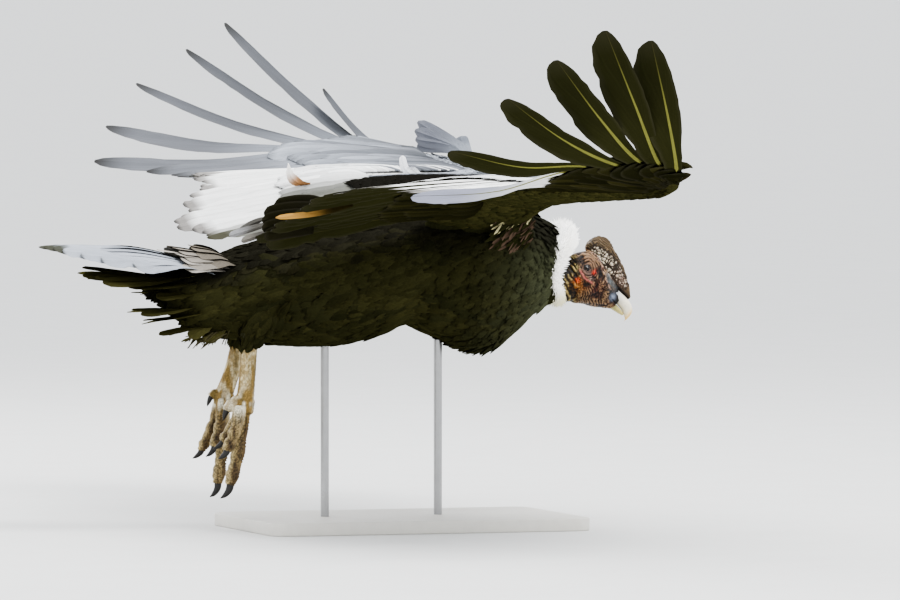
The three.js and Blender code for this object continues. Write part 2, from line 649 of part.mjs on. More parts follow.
function node(name, solid, colour) {
  const material = new THREE.MeshStandardMaterial({ color: colour, roughness: 0.8 });
  const mesh = new THREE.Mesh(geometryOf(welded(solid)), material);
  mesh.geometry.computeVertexNormals();
  mesh.name = name;
  group.add(mesh);
}

// A node of the bird, brought from its own zero point to its place over the base
function birdNode(name, solid, colour) {
  node(name, moved(largest(solid), ...BIRD_AT), colour);
}

// Wings: the left one modelled as it is, the right one mirrored
function buildWings(torsoRoom) {
  for (const name of ["left", "right"]) {
    const solids = wing(name);
    for (const part of ["inner", "forearm", "hand"]) {
      let solid = largest(solids[part]);
      if (name === "right") solid = mirrored(solid);
      if (part === "inner") solid = largest(solid.subtract(torsoRoom));
      birdNode(`wing_${name}_${part}`, solid, COLOUR.plumage);
    }
  }
}

// Head, neck, ruff, comb, bill and eyes
function buildHead(torsoRoom) {
  const upper = faceRidge(BILL_UPPER, GAP), lower = faceRidge(BILL_LOWER, GAP);
  birdNode("neck", headForm(NECK, -GAP / 2).subtract(torsoRoom), COLOUR.skin);
  const ruff = ruffForm().subtract(torsoRoom).subtract(headForm(NECK, GAP));
  birdNode("ruff", ruff.subtract(headForm(HEAD, 5)), COLOUR.down);
  const head = dressedHead().subtract(torsoRoom).subtract(headForm(NECK, GAP / 2));
  birdNode("head", head.subtract(upper).subtract(lower), COLOUR.skin);
  birdNode("comb", combForm().subtract(headForm(HEAD, GAP)).subtract(upper), COLOUR.comb);
  birdNode("bill_upper", billForm(), COLOUR.bill);
  birdNode("bill_lower", faceRidge(BILL_LOWER).subtract(upper), COLOUR.mandible);
  birdNode("eye_left", eyeball(1, 0), COLOUR.eye);
  birdNode("eye_right", eyeball(-1, 0), COLOUR.eye);
}

// Legs, then the tail, which is cut clear of them
function buildLegsAndTail(torsoRoom) {
  let tail = tailForm().subtract(torsoRoom);
  for (const [name, sign] of [["left", 1], ["right", -1]]) {
    const { toes } = LEGS[name];
    const thighLine = onSide(LEGS[name].thigh, sign), shankLine = onSide(LEGS[name].shank, sign);
    const thighAt = (grow) => cord(thighLine, [44, 38, 26, 16], 12, grow);
    const tarsusAt = (grow) => cord(shankLine, [13.5, 13.2, 12.6, 13, 14], 10, grow);
    birdNode(`thigh_${name}`, thighAt(0).subtract(torsoRoom), COLOUR.plumage);
    birdNode(`tarsus_${name}`, tarsusAt(0).subtract(thighAt(GAP)).subtract(torsoRoom), COLOUR.leg);
    tail = tail.subtract(thighAt(GAP)).subtract(tarsusAt(GAP));
    const low = shankLine[2];
    const ankle = cord([low.clone().add(V(1, 0, 6)), low.clone().add(V(-2, 0, -16))], [14, 16, 14], 10);
    let foot = join([ankle, ...toes.map((row) => toe(row, sign))]).subtract(tarsusAt(GAP));
    for (const row of toes) {
      birdNode(`claw_${name}_${row[0]}`, claw(row, sign), COLOUR.claw);
      foot = foot.subtract(claw(row, sign, GAP));
    }
    birdNode(`foot_${name}`, foot, COLOUR.leg);
  }
  birdNode("tail", tail, COLOUR.silver);
}

// Base, then the rods cut clear of the belly
function buildStand(torsoRoom) {
  node("stand_base", standBase(), COLOUR.stand);
  const belly = moved(torsoRoom, ...BIRD_AT);
  ["front", "rear"].forEach((name, i) => {
    const rod = rodForm(STAND.rodAt[i], STAND.rod, STAND.thick - STAND.socket + GAP, BIRD_AT[2] + 20);
    node(`stand_rod_${name}`, rod.subtract(belly), COLOUR.stand);
  });
}

const torsoRoom = torsoForm(GAP);
birdNode("torso", torsoForm(0), COLOUR.plumage);
buildWings(torsoRoom);
buildHead(torsoRoom);
buildLegsAndTail(torsoRoom);
buildStand(torsoRoom);

export default group;
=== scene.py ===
"""Andean condor, adult male, in level flight on a plain display stand.

The bird is built in its own frame in millimetres (x to the bill, y to the left wing, z up) from the
same driving sizes as its solids, and each finished mesh is brought into the shared frame in metres.
"""

from __future__ import annotations

import logging
import math
from dataclasses import dataclass, field
from enum import Enum
from typing import Callable, Iterable, Sequence

import bpy
import numpy as np
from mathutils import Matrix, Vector

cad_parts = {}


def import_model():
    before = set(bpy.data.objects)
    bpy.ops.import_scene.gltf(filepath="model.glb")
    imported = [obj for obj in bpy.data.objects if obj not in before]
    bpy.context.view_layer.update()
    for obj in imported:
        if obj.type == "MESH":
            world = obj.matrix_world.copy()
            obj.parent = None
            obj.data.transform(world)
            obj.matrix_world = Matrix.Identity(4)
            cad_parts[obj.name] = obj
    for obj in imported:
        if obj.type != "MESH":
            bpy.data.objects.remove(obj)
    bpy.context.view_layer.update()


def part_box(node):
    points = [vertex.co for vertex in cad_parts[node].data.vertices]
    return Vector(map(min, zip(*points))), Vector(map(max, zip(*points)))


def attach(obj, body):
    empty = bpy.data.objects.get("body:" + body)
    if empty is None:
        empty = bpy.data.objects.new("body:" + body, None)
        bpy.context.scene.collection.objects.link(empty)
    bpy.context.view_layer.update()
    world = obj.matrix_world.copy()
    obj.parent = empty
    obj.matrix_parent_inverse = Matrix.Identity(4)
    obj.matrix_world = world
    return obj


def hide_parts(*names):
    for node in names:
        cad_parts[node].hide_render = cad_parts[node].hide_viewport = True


LOG = logging.getLogger("condor")
MM = 0.001
BIRD_AT = np.array((80.0, 0.0, 355.0))
BODY = "root"
BAKE_MAP = "OFBake"
VANE_MAP = "vane"
TINT = "tint"
PATCH = 0.003

Array = np.ndarray
Piece = bpy.types.Object
Tree = bpy.types.NodeTree
Socket = bpy.types.NodeSocket
Along = Callable[[Array], Array]
Surface = Callable[[Array, Array], Array]
Tints = Callable[[Array, Array, Array], tuple[Array, Array]]


class Side(Enum):
    """Side of the bird, by the sign of its y."""

    LEFT = 1
    RIGHT = -1

    @property
    def label(self) -> str:
        """Its name in lower case."""
        return self.name.lower()


# Small numeric helpers


def srgb(r: float, g: float, b: float) -> Array:
    """Linear colour of an sRGB triple between 0 and 1."""
    c = np.array((r, g, b), float)
    return np.where(c <= 0.04045, c / 12.92, ((c + 0.055) / 1.055) ** 2.4)


def smooth(x: Array | float, low: float, high: float) -> Array:
    """Smooth step from 0 at low to 1 at high."""
    t = np.clip((np.asarray(x, float) - low) / (high - low), 0.0, 1.0)
    return t * t * (3.0 - 2.0 * t)


def unit(v: Array) -> Array:
    """Vectors scaled to length one along their last axis."""
    return v / np.maximum(np.linalg.norm(v, axis=-1, keepdims=True), 1e-9)


def mix(a: Array, b: Array, t: Array | float) -> Array:
    """Blend of a and b by t."""
    return a + (b - a) * t


def dye(base: Array, colour: Array, share: Array) -> Array:
    """Colours with a share of another one, given for each place."""
    return mix(base, colour, np.asarray(share)[..., None])


def bell(x: Array, middle: Array | float, reach: Array | float, power: int = 2) -> Array:
    """Hump of height 1 round a middle."""
    return np.exp(-(((x - middle) / reach) ** power))


def steady(direction: Array) -> Along:
    """The same direction all along a line."""
    return lambda t: np.tile(direction, (len(t), 1))


def turn(count: int) -> Array:
    """Even angles of one full turn."""
    return np.linspace(0, 2 * np.pi, count, endpoint=False)


def scatter(cells: Array, seed: int) -> Array:
    """Repeatable numbers from 0 to 1 for whole-numbered cells.

    Args:
        cells: Integer coordinates with x, y, z on the last axis.
        seed: Number that picks the pattern.

    Returns:
        One value for each cell.
    """
    n = cells[..., 0] * 374761393 + cells[..., 1] * 668265263 + cells[..., 2] * 2147483647 + seed * 144665
    n = (n ^ (n >> 13)) * 1274126177
    n = n ^ (n >> 16)
    return (n & 0xFFFFFF) / float(0xFFFFFF)


def noise(points: Array, size: float, seed: int = 0) -> Array:
    """Smooth noise from -1 to 1 with features of a given size.

    Args:
        points: Places, x, y, z on the last axis.
        size: Distance over which the value changes.
        seed: Number that picks the pattern.

    Returns:
        One value for each place.
    """
    p = points / size
    base = np.floor(p).astype(np.int64)
    w = p - base
    w = w * w * (3.0 - 2.0 * w)
    total = np.zeros(points.shape[:-1])
    for corner in np.ndindex(2, 2, 2):
        share = np.prod([w[..., i] if corner[i] else 1.0 - w[..., i] for i in range(3)], axis=0)
        total += share * scatter(base + np.array(corner), seed)
    return total * 2.0 - 1.0


def pebbles(points: Array, size: float, seed: int = 0) -> Array:
    """Rounded pebble pattern: 1 at the middle of a pebble, 0 in the furrows between.

    Args:
        points: Places, x, y, z on the last axis.
        size: Size of a pebble.
        seed: Number that picks the pattern.

    Returns:
        One value for each place.
    """
    p = points / size
    base = np.floor(p).astype(np.int64)
    first = np.full(points.shape[:-1], 9.0)
    second = first.copy()
    for step in np.ndindex(3, 3, 3):
        cell = base + np.array(step) - 1
        spot = cell + np.stack([scatter(cell, seed + i) for i in range(3)], axis=-1)
        d = np.linalg.norm(spot - p, axis=-1)
        second = np.minimum(second, np.maximum(first, d))
        first = np.minimum(first, d)
    return smooth(second - first, 0.02, 0.42)


class Path:
    """Centripetal curve through points of any dimension, read at t from 0 to 1."""

    SAMPLES = 16

    def __init__(self, points: Sequence[Sequence[float]] | Array) -> None:
        """Samples the curve.

        Args:
            points: Two or more points that it passes through.
        """
        p = np.array(points, float)
        padded = np.vstack([2 * p[0] - p[1], p, 2 * p[-1] - p[-2]])
        rows = []
        for i in range(len(p) - 1):
            p0, p1, p2, p3 = padded[i : i + 4]
            d0, d1, d2 = (max(np.linalg.norm(step), 1e-6) ** 0.5 for step in (p1 - p0, p2 - p1, p3 - p2))
            m1 = ((p1 - p0) / d0 - (p2 - p0) / (d0 + d1) + (p2 - p1) / d1) * d1
            m2 = ((p2 - p1) / d1 - (p3 - p1) / (d1 + d2) + (p3 - p2) / d2) * d1
            w = np.linspace(0, 1, self.SAMPLES, endpoint=False)[:, None]
            c2, c3 = -3 * p1 + 3 * p2 - 2 * m1 - m2, 2 * p1 - 2 * p2 + m1 + m2
            rows.append(p1 + w * (m1 + w * (c2 + w * c3)))
        self.table = np.vstack([*rows, p[-1:]])
        self.knots = np.linspace(0, 1, len(self.table))

    def at(self, t: Array | float) -> Array:
        """Points of the curve.

        Args:
            t: Places from 0 to 1.

        Returns:
            The points, one row for each t.
        """
        t = np.asarray(t, float)
        return np.stack([np.interp(t, self.knots, c) for c in self.table.T], axis=-1)

    def tangent(self, t: Array | float) -> Array:
        """Unit directions of the curve at t."""
        t = np.asarray(t, float)
        return unit(self.at(np.minimum(t + 0.02, 1.0)) - self.at(np.maximum(t - 0.02, 0.0)))


# Meshes made from arrays


def in_frame(points: Array) -> Array:
    """Points of the bird's own frame in metres of the shared frame."""
    return (points + BIRD_AT) * MM


def mesh_object(name: str, points: Array, faces: Iterable[Array]) -> Piece:
    """A mesh object from arrays.

    Args:
        name: Name of the object.
        points: Corner places in millimetres of the bird's frame.
        faces: Arrays of corner numbers, each array with faces of one size.

    Returns:
        The linked object, at the origin.
    """
    mesh = bpy.data.meshes.new(name)
    places = in_frame(points)
    loops = np.concatenate([f.ravel() for f in faces]).astype(np.int32)
    sizes = np.concatenate([np.full(len(f), f.shape[1]) for f in faces])
    starts = np.concatenate([[0], np.cumsum(sizes)[:-1]]).astype(np.int32)
    mesh.vertices.add(len(places))
    mesh.vertices.foreach_set("co", places.astype(np.float32).ravel())
    mesh.loops.add(len(loops))
    mesh.loops.foreach_set("vertex_index", loops)
    mesh.polygons.add(len(starts))
    mesh.polygons.foreach_set("loop_start", starts)
    mesh.polygons.foreach_set("use_smooth", np.ones(len(starts), bool))
    mesh.update(calc_edges=True)
    mesh.validate()
    obj = bpy.data.objects.new(name, mesh)
    bpy.context.scene.collection.objects.link(obj)
    return obj


def tube_faces(rows: int, ring: int, start: int = 0) -> tuple[Array, Array]:
    """Faces of one closed tube of rings.

    Args:
        rows: Number of rings.
        ring: Corners in a ring.
        start: Number of its first corner.

    Returns:
        Its quads, and its two end faces.
    """
    r, k = np.meshgrid(np.arange(rows - 1), np.arange(ring), indexing="ij")
    a, b = r * ring + k, r * ring + (k + 1) % ring
    quads = np.stack([a, b, b + ring, a + ring], axis=-1).reshape(-1, 4) + start
    caps = np.stack([np.arange(ring)[::-1], np.arange(ring) + (rows - 1) * ring]) + start
    return quads, caps


def loft(name: str, rings: Array) -> Piece:
    """Closed surface through rings.

    Args:
        name: Name of the object.
        rings: Places, shaped rows, corners, 3.

    Returns:
        The object.
    """
    rows, ring, _ = rings.shape
    points = rings.reshape(-1, 3)
    quads, caps = tube_faces(rows, ring)
    a, b, c = points[quads[:, 0]], points[quads[:, 1]], points[quads[:, 2]]
    if np.einsum("ij,ij->", a, np.cross(b, c)) < 0:
        quads, caps = quads[:, ::-1], caps[:, ::-1]
    return mesh_object(name, points, (quads, caps))


def select_only(*objects: Piece) -> None:
    """Makes the objects the only ones selected, the first one active."""
    bpy.ops.object.select_all(action="DESELECT")
    for obj in objects:
        obj.select_set(True)
    bpy.context.view_layer.objects.active = objects[0]


def primitive(name: str, add: Callable[..., object], **sizes: object) -> Piece:
    """Adds a primitive on its own, with its place kept in its mesh.

    Args:
        name: Name of the object.
        add: Operator that adds it.
        sizes: The operator's values.

    Returns:
        The object, selected and active.
    """
    bpy.ops.object.select_all(action="DESELECT")
    add(**sizes)
    obj = bpy.context.active_object
    obj.name = name
    bpy.ops.object.transform_apply(location=True, rotation=True, scale=True)
    return obj


def apply_modifier(obj: Piece, kind: str, **settings: object) -> None:
    """Adds a modifier with settings to an object and applies it.

    Args:
        obj: The object.
        kind: Modifier type.
        settings: Values of its properties.
    """
    select_only(obj)
    modifier = obj.modifiers.new(kind.lower(), kind)
    for key, value in settings.items():
        setattr(modifier, key, value)
    bpy.ops.object.modifier_apply(modifier=modifier.name)


def fuse(name: str, parts: Sequence[Piece], voxel: float, ease: int) -> Piece:
    """Joins forms into one even skin.

    Args:
        name: Name of the result.
        parts: The forms, which overlap.
        voxel: Size of its faces in metres.
        ease: Rounds of smoothing.

    Returns:
        The fused object.
    """
    select_only(*parts)
    bpy.ops.object.join()
    obj = parts[0]
    obj.name = name
    apply_modifier(obj, "REMESH", mode="VOXEL", voxel_size=voxel, adaptivity=0.0, use_smooth_shade=True)
    apply_modifier(obj, "SMOOTH", factor=0.5, iterations=ease)
    return obj


def corners(obj: Piece) -> tuple[Array, Array]:
    """Reads a mesh's corners in millimetres of the bird's frame.

    Args:
        obj: The object.

    Returns:
        The places and the normals.
    """
    mesh = obj.data
    co = np.zeros(len(mesh.vertices) * 3, np.float32)
    no = co.copy()
    mesh.vertices.foreach_get("co", co)
    mesh.vertices.foreach_get("normal", no)
    return co.reshape(-1, 3) / MM - BIRD_AT, no.reshape(-1, 3).astype(float)


def move_corners(obj: Piece, points: Array) -> None:
    """Sets a mesh's corners to places in millimetres of the bird's frame."""
    obj.data.vertices.foreach_set("co", in_frame(points).astype(np.float32).ravel())
    obj.data.update()


def paint(obj: Piece, values: Array, domain: str = "POINT") -> None:
    """Writes the tint of a mesh's corners.

    Args:
        obj: The object.
        values: A linear colour for each corner.
        domain: POINT for one a corner, CORNER for one a corner of each face.
    """
    layer = obj.data.attributes.new(TINT, "FLOAT_COLOR", domain)
    rgba = np.ones((len(values), 4), np.float32)
    rgba[:, :3] = values
    layer.data.foreach_set("color", rgba.ravel())


# Finishes


def feed(tree: Tree, target: Socket, value: object) -> None:
    """Gives an input a socket, a number, a vector or a linear colour.

    Args:
        tree: The input's tree.
        target: The input.
        value: What it takes, or None for its first value.
    """
    if isinstance(value, Socket):
        tree.links.new(value, target)
    elif isinstance(value, (int, float)):
        target.default_value = value
    elif value is not None:
        target.default_value = (*value, 1.0)[: len(target.default_value)]


def add_node(
    tree: Tree, kind: str, inputs: dict[str | int, object] | None = None, **settings: object
) -> bpy.types.Node:
    """Adds a shader node.

    Args:
        tree: Tree that takes it.
        kind: Its type.
        inputs: What its inputs take, by label or place.
        settings: Values of its properties.

    Returns:
        The node.
    """
    node = tree.nodes.new("ShaderNode" + kind)
    for key, value in settings.items():
        setattr(node, key, value)
    for key, value in (inputs or {}).items():
        feed(tree, node.inputs[key], value)
    return node


def calc(tree: Tree, operation: str, a: object, b: object = None, clamp: bool = False) -> Socket:
    """Result of a Math node on sockets or numbers."""
    return add_node(tree, "Math", {0: a, 1: b}, operation=operation, use_clamp=clamp).outputs[0]


def mix_colour(tree: Tree, share: object, a: object, b: object, blend: str = "MIX") -> Socket:
    """Result of a colour mix of sockets or linear colours."""
    return add_node(tree, "Mix", {0: share, 6: a, 7: b}, data_type="RGBA", blend_type=blend).outputs[2]


def vary(tree: Tree, value: Socket, low: float, high: float) -> Socket:
    """Turns the middle of a noise's range into one from low to high."""
    ends = {"From Min": 0.3, "From Max": 0.7, "To Min": low, "To Max": high}
    return add_node(tree, "MapRange", {"Value": value, **ends}).outputs[0]


def new_group(name: str, inputs: dict[str, float], outputs: Sequence[str]) -> Tree:
    """Shader group with a Vector input.

    Args:
        name: Name of the group.
        inputs: Number inputs with their first values.
        outputs: Number outputs.

    Returns:
        The group's tree, with its input and output nodes.
    """
    tree = bpy.data.node_groups.new(name, "ShaderNodeTree")
    tree.interface.new_socket("Vector", in_out="INPUT", socket_type="NodeSocketVector")
    for label, value in inputs.items():
        socket = tree.interface.new_socket(label, in_out="INPUT", socket_type="NodeSocketFloat")
        socket.default_value = value
    for label in outputs:
        tree.interface.new_socket(label, in_out="OUTPUT", socket_type="NodeSocketFloat")
    tree.nodes.new("NodeGroupInput")
    tree.nodes.new("NodeGroupOutput")
    return tree


def barb_group() -> Tree:
    """Group that draws a feather's barbs and worn edge from its vane map.

    Returns:
        A tree with Vector, Fineness and Slant inputs, and Barb and Edge outputs.
    """
    tree = new_group("barbs", {"Fineness": 60.0, "Slant": 0.9}, ("Barb", "Edge"))
    start, end = tree.nodes["Group Input"].outputs, tree.nodes["Group Output"].inputs
    x, y, _ = add_node(tree, "SeparateXYZ", {0: start["Vector"]}).outputs
    across = calc(tree, "ABSOLUTE", calc(tree, "SUBTRACT", x, 0.5))
    along = calc(tree, "SUBTRACT", y, calc(tree, "MULTIPLY", across, start["Slant"]))
    wave = calc(tree, "SINE", calc(tree, "MULTIPLY", along, start["Fineness"]))
    sides = {0: calc(tree, "MULTIPLY", along, 14.0), 1: calc(tree, "MULTIPLY", across, 2.0)}
    place = add_node(tree, "CombineXYZ", sides).outputs[0]
    rough = add_node(tree, "TexNoise", {"Scale": 1.6, "Detail": 4.0, "Vector": place}).outputs[0]
    feed(tree, end["Barb"], calc(tree, "ADD", calc(tree, "MULTIPLY", wave, 0.22), rough))
    edge = calc(tree, "MULTIPLY", calc(tree, "SUBTRACT", across, 0.36), 7.0, clamp=True)
    tip = calc(tree, "MULTIPLY", calc(tree, "SUBTRACT", y, 0.84), 6.0, clamp=True)
    feed(tree, end["Edge"], calc(tree, "MAXIMUM", edge, tip))
    return tree


def grain_group() -> Tree:
    """Group of fine and coarse mottling.

    Returns:
        A tree with Vector and Scale inputs, and Fine and Coarse outputs.
    """
    tree = new_group("grain", {"Scale": 300.0}, ("Fine", "Coarse"))
    start, end = tree.nodes["Group Input"].outputs, tree.nodes["Group Output"].inputs
    for label, factor, detail in (("Fine", 1.0, 5.0), ("Coarse", 0.12, 3.0)):
        scale = calc(tree, "MULTIPLY", start["Scale"], factor)
        inputs = {"Detail": detail, "Vector": start["Vector"], "Scale": scale}
        texture = add_node(tree, "TexNoise", inputs)
        feed(tree, end[label], texture.outputs[0])
    return tree


def new_material(name: str) -> tuple[bpy.types.Material, Tree]:
    """A node material and its tree.

    Args:
        name: Name of the material.

    Returns:
        The material and its tree.
    """
    material = bpy.data.materials.new(name)
    material.use_nodes = True
    return material, material.node_tree


def shade(tree: Tree, inputs: dict[str, object], height: Socket, strength: float, depth: float) -> None:
    """Feeds a material's main shader.

    Args:
        tree: The material's tree.
        inputs: What the shader's inputs take.
        height: Height of its relief.
        strength: Strength of the relief.
        depth: Depth of the relief in metres.
    """
    relief = add_node(tree, "Bump", {"Strength": strength, "Distance": depth, "Height": height})
    for label, value in (*inputs.items(), ("Normal", relief.outputs[0])):
        feed(tree, tree.nodes["Principled BSDF"].inputs[label], value)


def mottle(
    tree: Tree, grain: Tree, scale: float, colour: object, contrast: float
) -> tuple[Socket, Socket, Socket]:
    """Mottles a colour on Object coordinates.

    Args:
        tree: The material's tree.
        grain: The shared mottling group.
        scale: Fineness of the grain.
        colour: Socket or linear colour.
        contrast: How far it varies.

    Returns:
        The colour, and the fine and the coarse grain.
    """
    place = add_node(tree, "TexCoord").outputs["Object"]
    group = add_node(tree, "Group", node_tree=grain)
    feed(tree, group.inputs["Vector"], place)
    feed(tree, group.inputs["Scale"], scale)
    fine, coarse = group.outputs["Fine"], group.outputs["Coarse"]
    tone = vary(tree, fine, 1 - contrast, 1 + contrast)
    return mix_colour(tree, 1.0, colour, tone, "MULTIPLY"), fine, coarse


@dataclass(frozen=True)
class PlumageFinish:
    """Feathers: their own tint, barbs, a worn edge, and a painted glow where one is set."""

    name: str
    roughness: float = 0.62
    sheen: float = 0.0
    specular: float = 0.0
    # Strength of a painted glow: emission that makes feathers shine with no lamp behind them.
    painted_glow: float = 0.0
    fineness: float = 220.0
    barb_depth: float = 0.0003
    contrast: float = 0.35
    edge: tuple[float, float, float] = (0.30, 0.26, 0.20)
    edge_share: float = 0.25

    def build(self, barbs: Tree) -> bpy.types.Material:
        """Makes the material.

        Args:
            barbs: The shared barb group.

        Returns:
            The material.
        """
        material, tree = new_material(self.name)
        vane = add_node(tree, "UVMap", uv_map=VANE_MAP).outputs[0]
        tint = add_node(tree, "Attribute", attribute_name=TINT).outputs["Color"]
        group = add_node(tree, "Group", node_tree=barbs)
        feed(tree, group.inputs["Vector"], vane)
        feed(tree, group.inputs["Fineness"], self.fineness)
        barb = group.outputs["Barb"]
        tone = vary(tree, barb, 1.0 - self.contrast, 1.0 + self.contrast)
        worn = calc(tree, "MULTIPLY", group.outputs["Edge"], self.edge_share)
        colour = mix_colour(tree, 1.0, tint, tone, "MULTIPLY")
        shade(tree, {
            "Base Color": mix_colour(tree, worn, colour, srgb(*self.edge)),
            "Roughness": vary(tree, barb, self.roughness + 0.08, self.roughness - 0.08),
            "Sheen Weight": self.sheen, "Sheen Roughness": 0.45, "Specular IOR Level": self.specular,
            # The emission is a painted glow.
            "Emission Color": (1.0, 0.99, 0.96), "Emission Strength": self.painted_glow,
        }, barb, 0.5, self.barb_depth)
        return material


@dataclass(frozen=True)
class SkinFinish:
    """Bare skin or horn: its painted tint, mottled, with a relief of fine creases."""

    name: str
    roughness: float = 0.5
    scale: float = 420.0
    contrast: float = 0.3
    crease: float = 0.0005
    flesh: float = 0.0
    specular: float = 0.5

    def build(self, grain: Tree) -> bpy.types.Material:
        """Makes the material.

        Args:
            grain: The shared mottling group.

        Returns:
            The material.
        """
        material, tree = new_material(self.name)
        tint = add_node(tree, "Attribute", attribute_name=TINT).outputs["Color"]
        colour, fine, coarse = mottle(tree, grain, self.scale, tint, self.contrast)
        shade(tree, {
            "Base Color": mix_colour(tree, 1.0, colour, vary(tree, coarse, 0.85, 1.12), "MULTIPLY"),
            "Roughness": vary(tree, coarse, self.roughness - 0.1, self.roughness + 0.12),
            "Specular IOR Level": self.specular, "Subsurface Weight": self.flesh,
            "Subsurface Radius": (0.004, 0.0015, 0.0008), "Subsurface Scale": 0.5,
        }, fine, 0.6, self.crease)
        return material


@dataclass(frozen=True)
class PlainFinish:
    """Claw, board, steel or floor: one colour with slight mottling."""

    name: str
    colour: tuple[float, float, float]
    roughness: float = 0.5
    metal: float = 0.0
    scale: float = 60.0
    contrast: float = 0.05
    depth: float = 0.0001

    def build(self, grain: Tree) -> bpy.types.Material:
        """Makes the material.

        Args:
            grain: The shared mottling group.

        Returns:
            The material.
        """
        material, tree = new_material(self.name)
        colour, fine, coarse = mottle(tree, grain, self.scale, srgb(*self.colour), self.contrast)
        rough = vary(tree, coarse, self.roughness - 0.05, self.roughness + 0.05)
        inputs = {"Base Color": colour, "Roughness": rough, "Metallic": self.metal}
        shade(tree, inputs, fine, 0.3, self.depth)
        return material


class Finishes:
    """All materials of the model, made once from the shared groups."""

    def __init__(self) -> None:
        """Builds the groups and the materials."""
        barbs, grain = barb_group(), grain_group()
        self.body = PlumageFinish("plumage_body", edge=(0.26, 0.24, 0.19), edge_share=0.07).build(barbs)
        self.flight = PlumageFinish(
            "plumage_flight", roughness=0.5, fineness=420.0, contrast=0.16, edge=(0.42, 0.40, 0.36),
            edge_share=0.1,
        ).build(barbs)
        # The down has a painted glow: emission that stands in for light shining through it.
        self.down = PlumageFinish(
            "plumage_down", roughness=0.9, sheen=0.3, contrast=0.04, edge=(0.97, 0.96, 0.93),
            edge_share=0.1, painted_glow=0.35,
        ).build(barbs)
        self.under = SkinFinish("under_skin", roughness=0.8, specular=0.0).build(grain)
        self.head = SkinFinish("head_skin", contrast=0.22, flesh=0.08, specular=0.2).build(grain)
        self.leg = SkinFinish(
            "leg_skin", roughness=0.55, scale=500.0, contrast=0.2, crease=0.0004, specular=0.2
        ).build(grain)
        self.eye = SkinFinish(
            "eye_gloss", roughness=0.14, scale=900.0, contrast=0.1, crease=0.00002, specular=0.3
        ).build(grain)
        self.horn = SkinFinish(
            "bill_horn", roughness=0.3, scale=160.0, contrast=0.08, crease=0.0001
        ).build(grain)
        self.claw = PlainFinish("claw_horn", (0.06, 0.045, 0.025), scale=300.0, contrast=0.3).build(grain)
        self.board = PlainFinish(
            "stand_board", (0.80, 0.79, 0.76), roughness=0.55, contrast=0.03
        ).build(grain)
        self.steel = PlainFinish("stand_steel", (0.62, 0.62, 0.62), roughness=0.3, metal=1.0).build(grain)
        self.floor = PlainFinish(
            "floor", (0.83, 0.83, 0.82), roughness=0.85, scale=8.0, contrast=0.015
        ).build(grain)


def dress(obj: Piece, material: bpy.types.Material, slot: str, *nodes: str) -> None:
    """Gives a finished piece its material, its body and the nodes it stands for.

    Args:
        obj: The piece.
        material: Its finish, unless it already has its own.
        slot: Material slot of the record; not used.
        nodes: Solids that it replaces.
    """
    if not obj.data.materials:
        obj.data.materials.append(material)
    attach(obj, BODY)
    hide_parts(*nodes)
    LOG.info("%s: %d faces", obj.name, len(obj.data.polygons))


# Feathers


@dataclass(frozen=True)
class VaneShape:
    """Outline and section of a kind of feather."""

    stations: tuple[float, ...]
    widths: tuple[float, ...]
    section: tuple[tuple[float, float], ...]  # across from -1 to 1, height over the web in thicknesses

    def rows(self, count: int) -> tuple[Array, Array]:
        """Even stations along the feather and its half width at each.

        Args:
            count: Number of rings.

        Returns:
            The stations and the widths.
        """
        t = 1.0 - (1.0 - np.linspace(0, 1, count)) ** 1.25
        return t, np.interp(t, self.stations, self.widths)


CONTOUR = VaneShape(
    (0.0, 0.2, 0.5, 0.75, 0.9, 1.0), (0.35, 0.75, 1.0, 0.92, 0.62, 0.12),
    ((-1, 0), (0, 1), (1, 0), (0, -1)),
)
LOCK = VaneShape((0.0, 0.3, 0.7, 1.0), (0.7, 1.0, 0.7, 0.08), ((-1, 0), (0, 1), (1, 0), (0, -1)))
FLAT_SECTION = (
    (-1, 0), (-0.5, 0.5), (-0.07, 0.5), (0, 1.8), (0.07, 0.5), (0.5, 0.5),
    (1, 0), (0.5, -0.5), (0.07, -0.5), (0, -1.8), (-0.07, -0.5), (-0.5, -0.5),
)
COVERT = VaneShape((0.0, 0.25, 0.6, 0.85, 0.95, 1.0), (0.4, 0.85, 1.0, 0.82, 0.52, 0.14), FLAT_SECTION)
BLUNT = VaneShape(
    (0.0, 0.25, 0.6, 0.85, 0.94, 0.98, 1.0), (0.45, 0.85, 1.0, 0.95, 0.8, 0.55, 0.2), FLAT_SECTION
)
FLIGHT = VaneShape((0.0, 0.2, 0.55, 0.86, 0.96, 1.0), (0.3, 0.85, 1.0, 0.86, 0.52, 0.12), FLAT_SECTION)
POINTED = VaneShape((0.0, 0.3, 0.55, 0.8, 1.0), (0.5, 0.9, 1.0, 0.55, 0.05), FLAT_SECTION)
FINGER = VaneShape(
    (0.0, 0.2, 0.33, 0.45, 0.58, 0.72, 0.86, 0.94, 0.98, 1.0),
    (0.25, 0.40, 0.40, 0.54, 0.80, 1.0, 0.92, 0.70, 0.44, 0.14), FLAT_SECTION
)


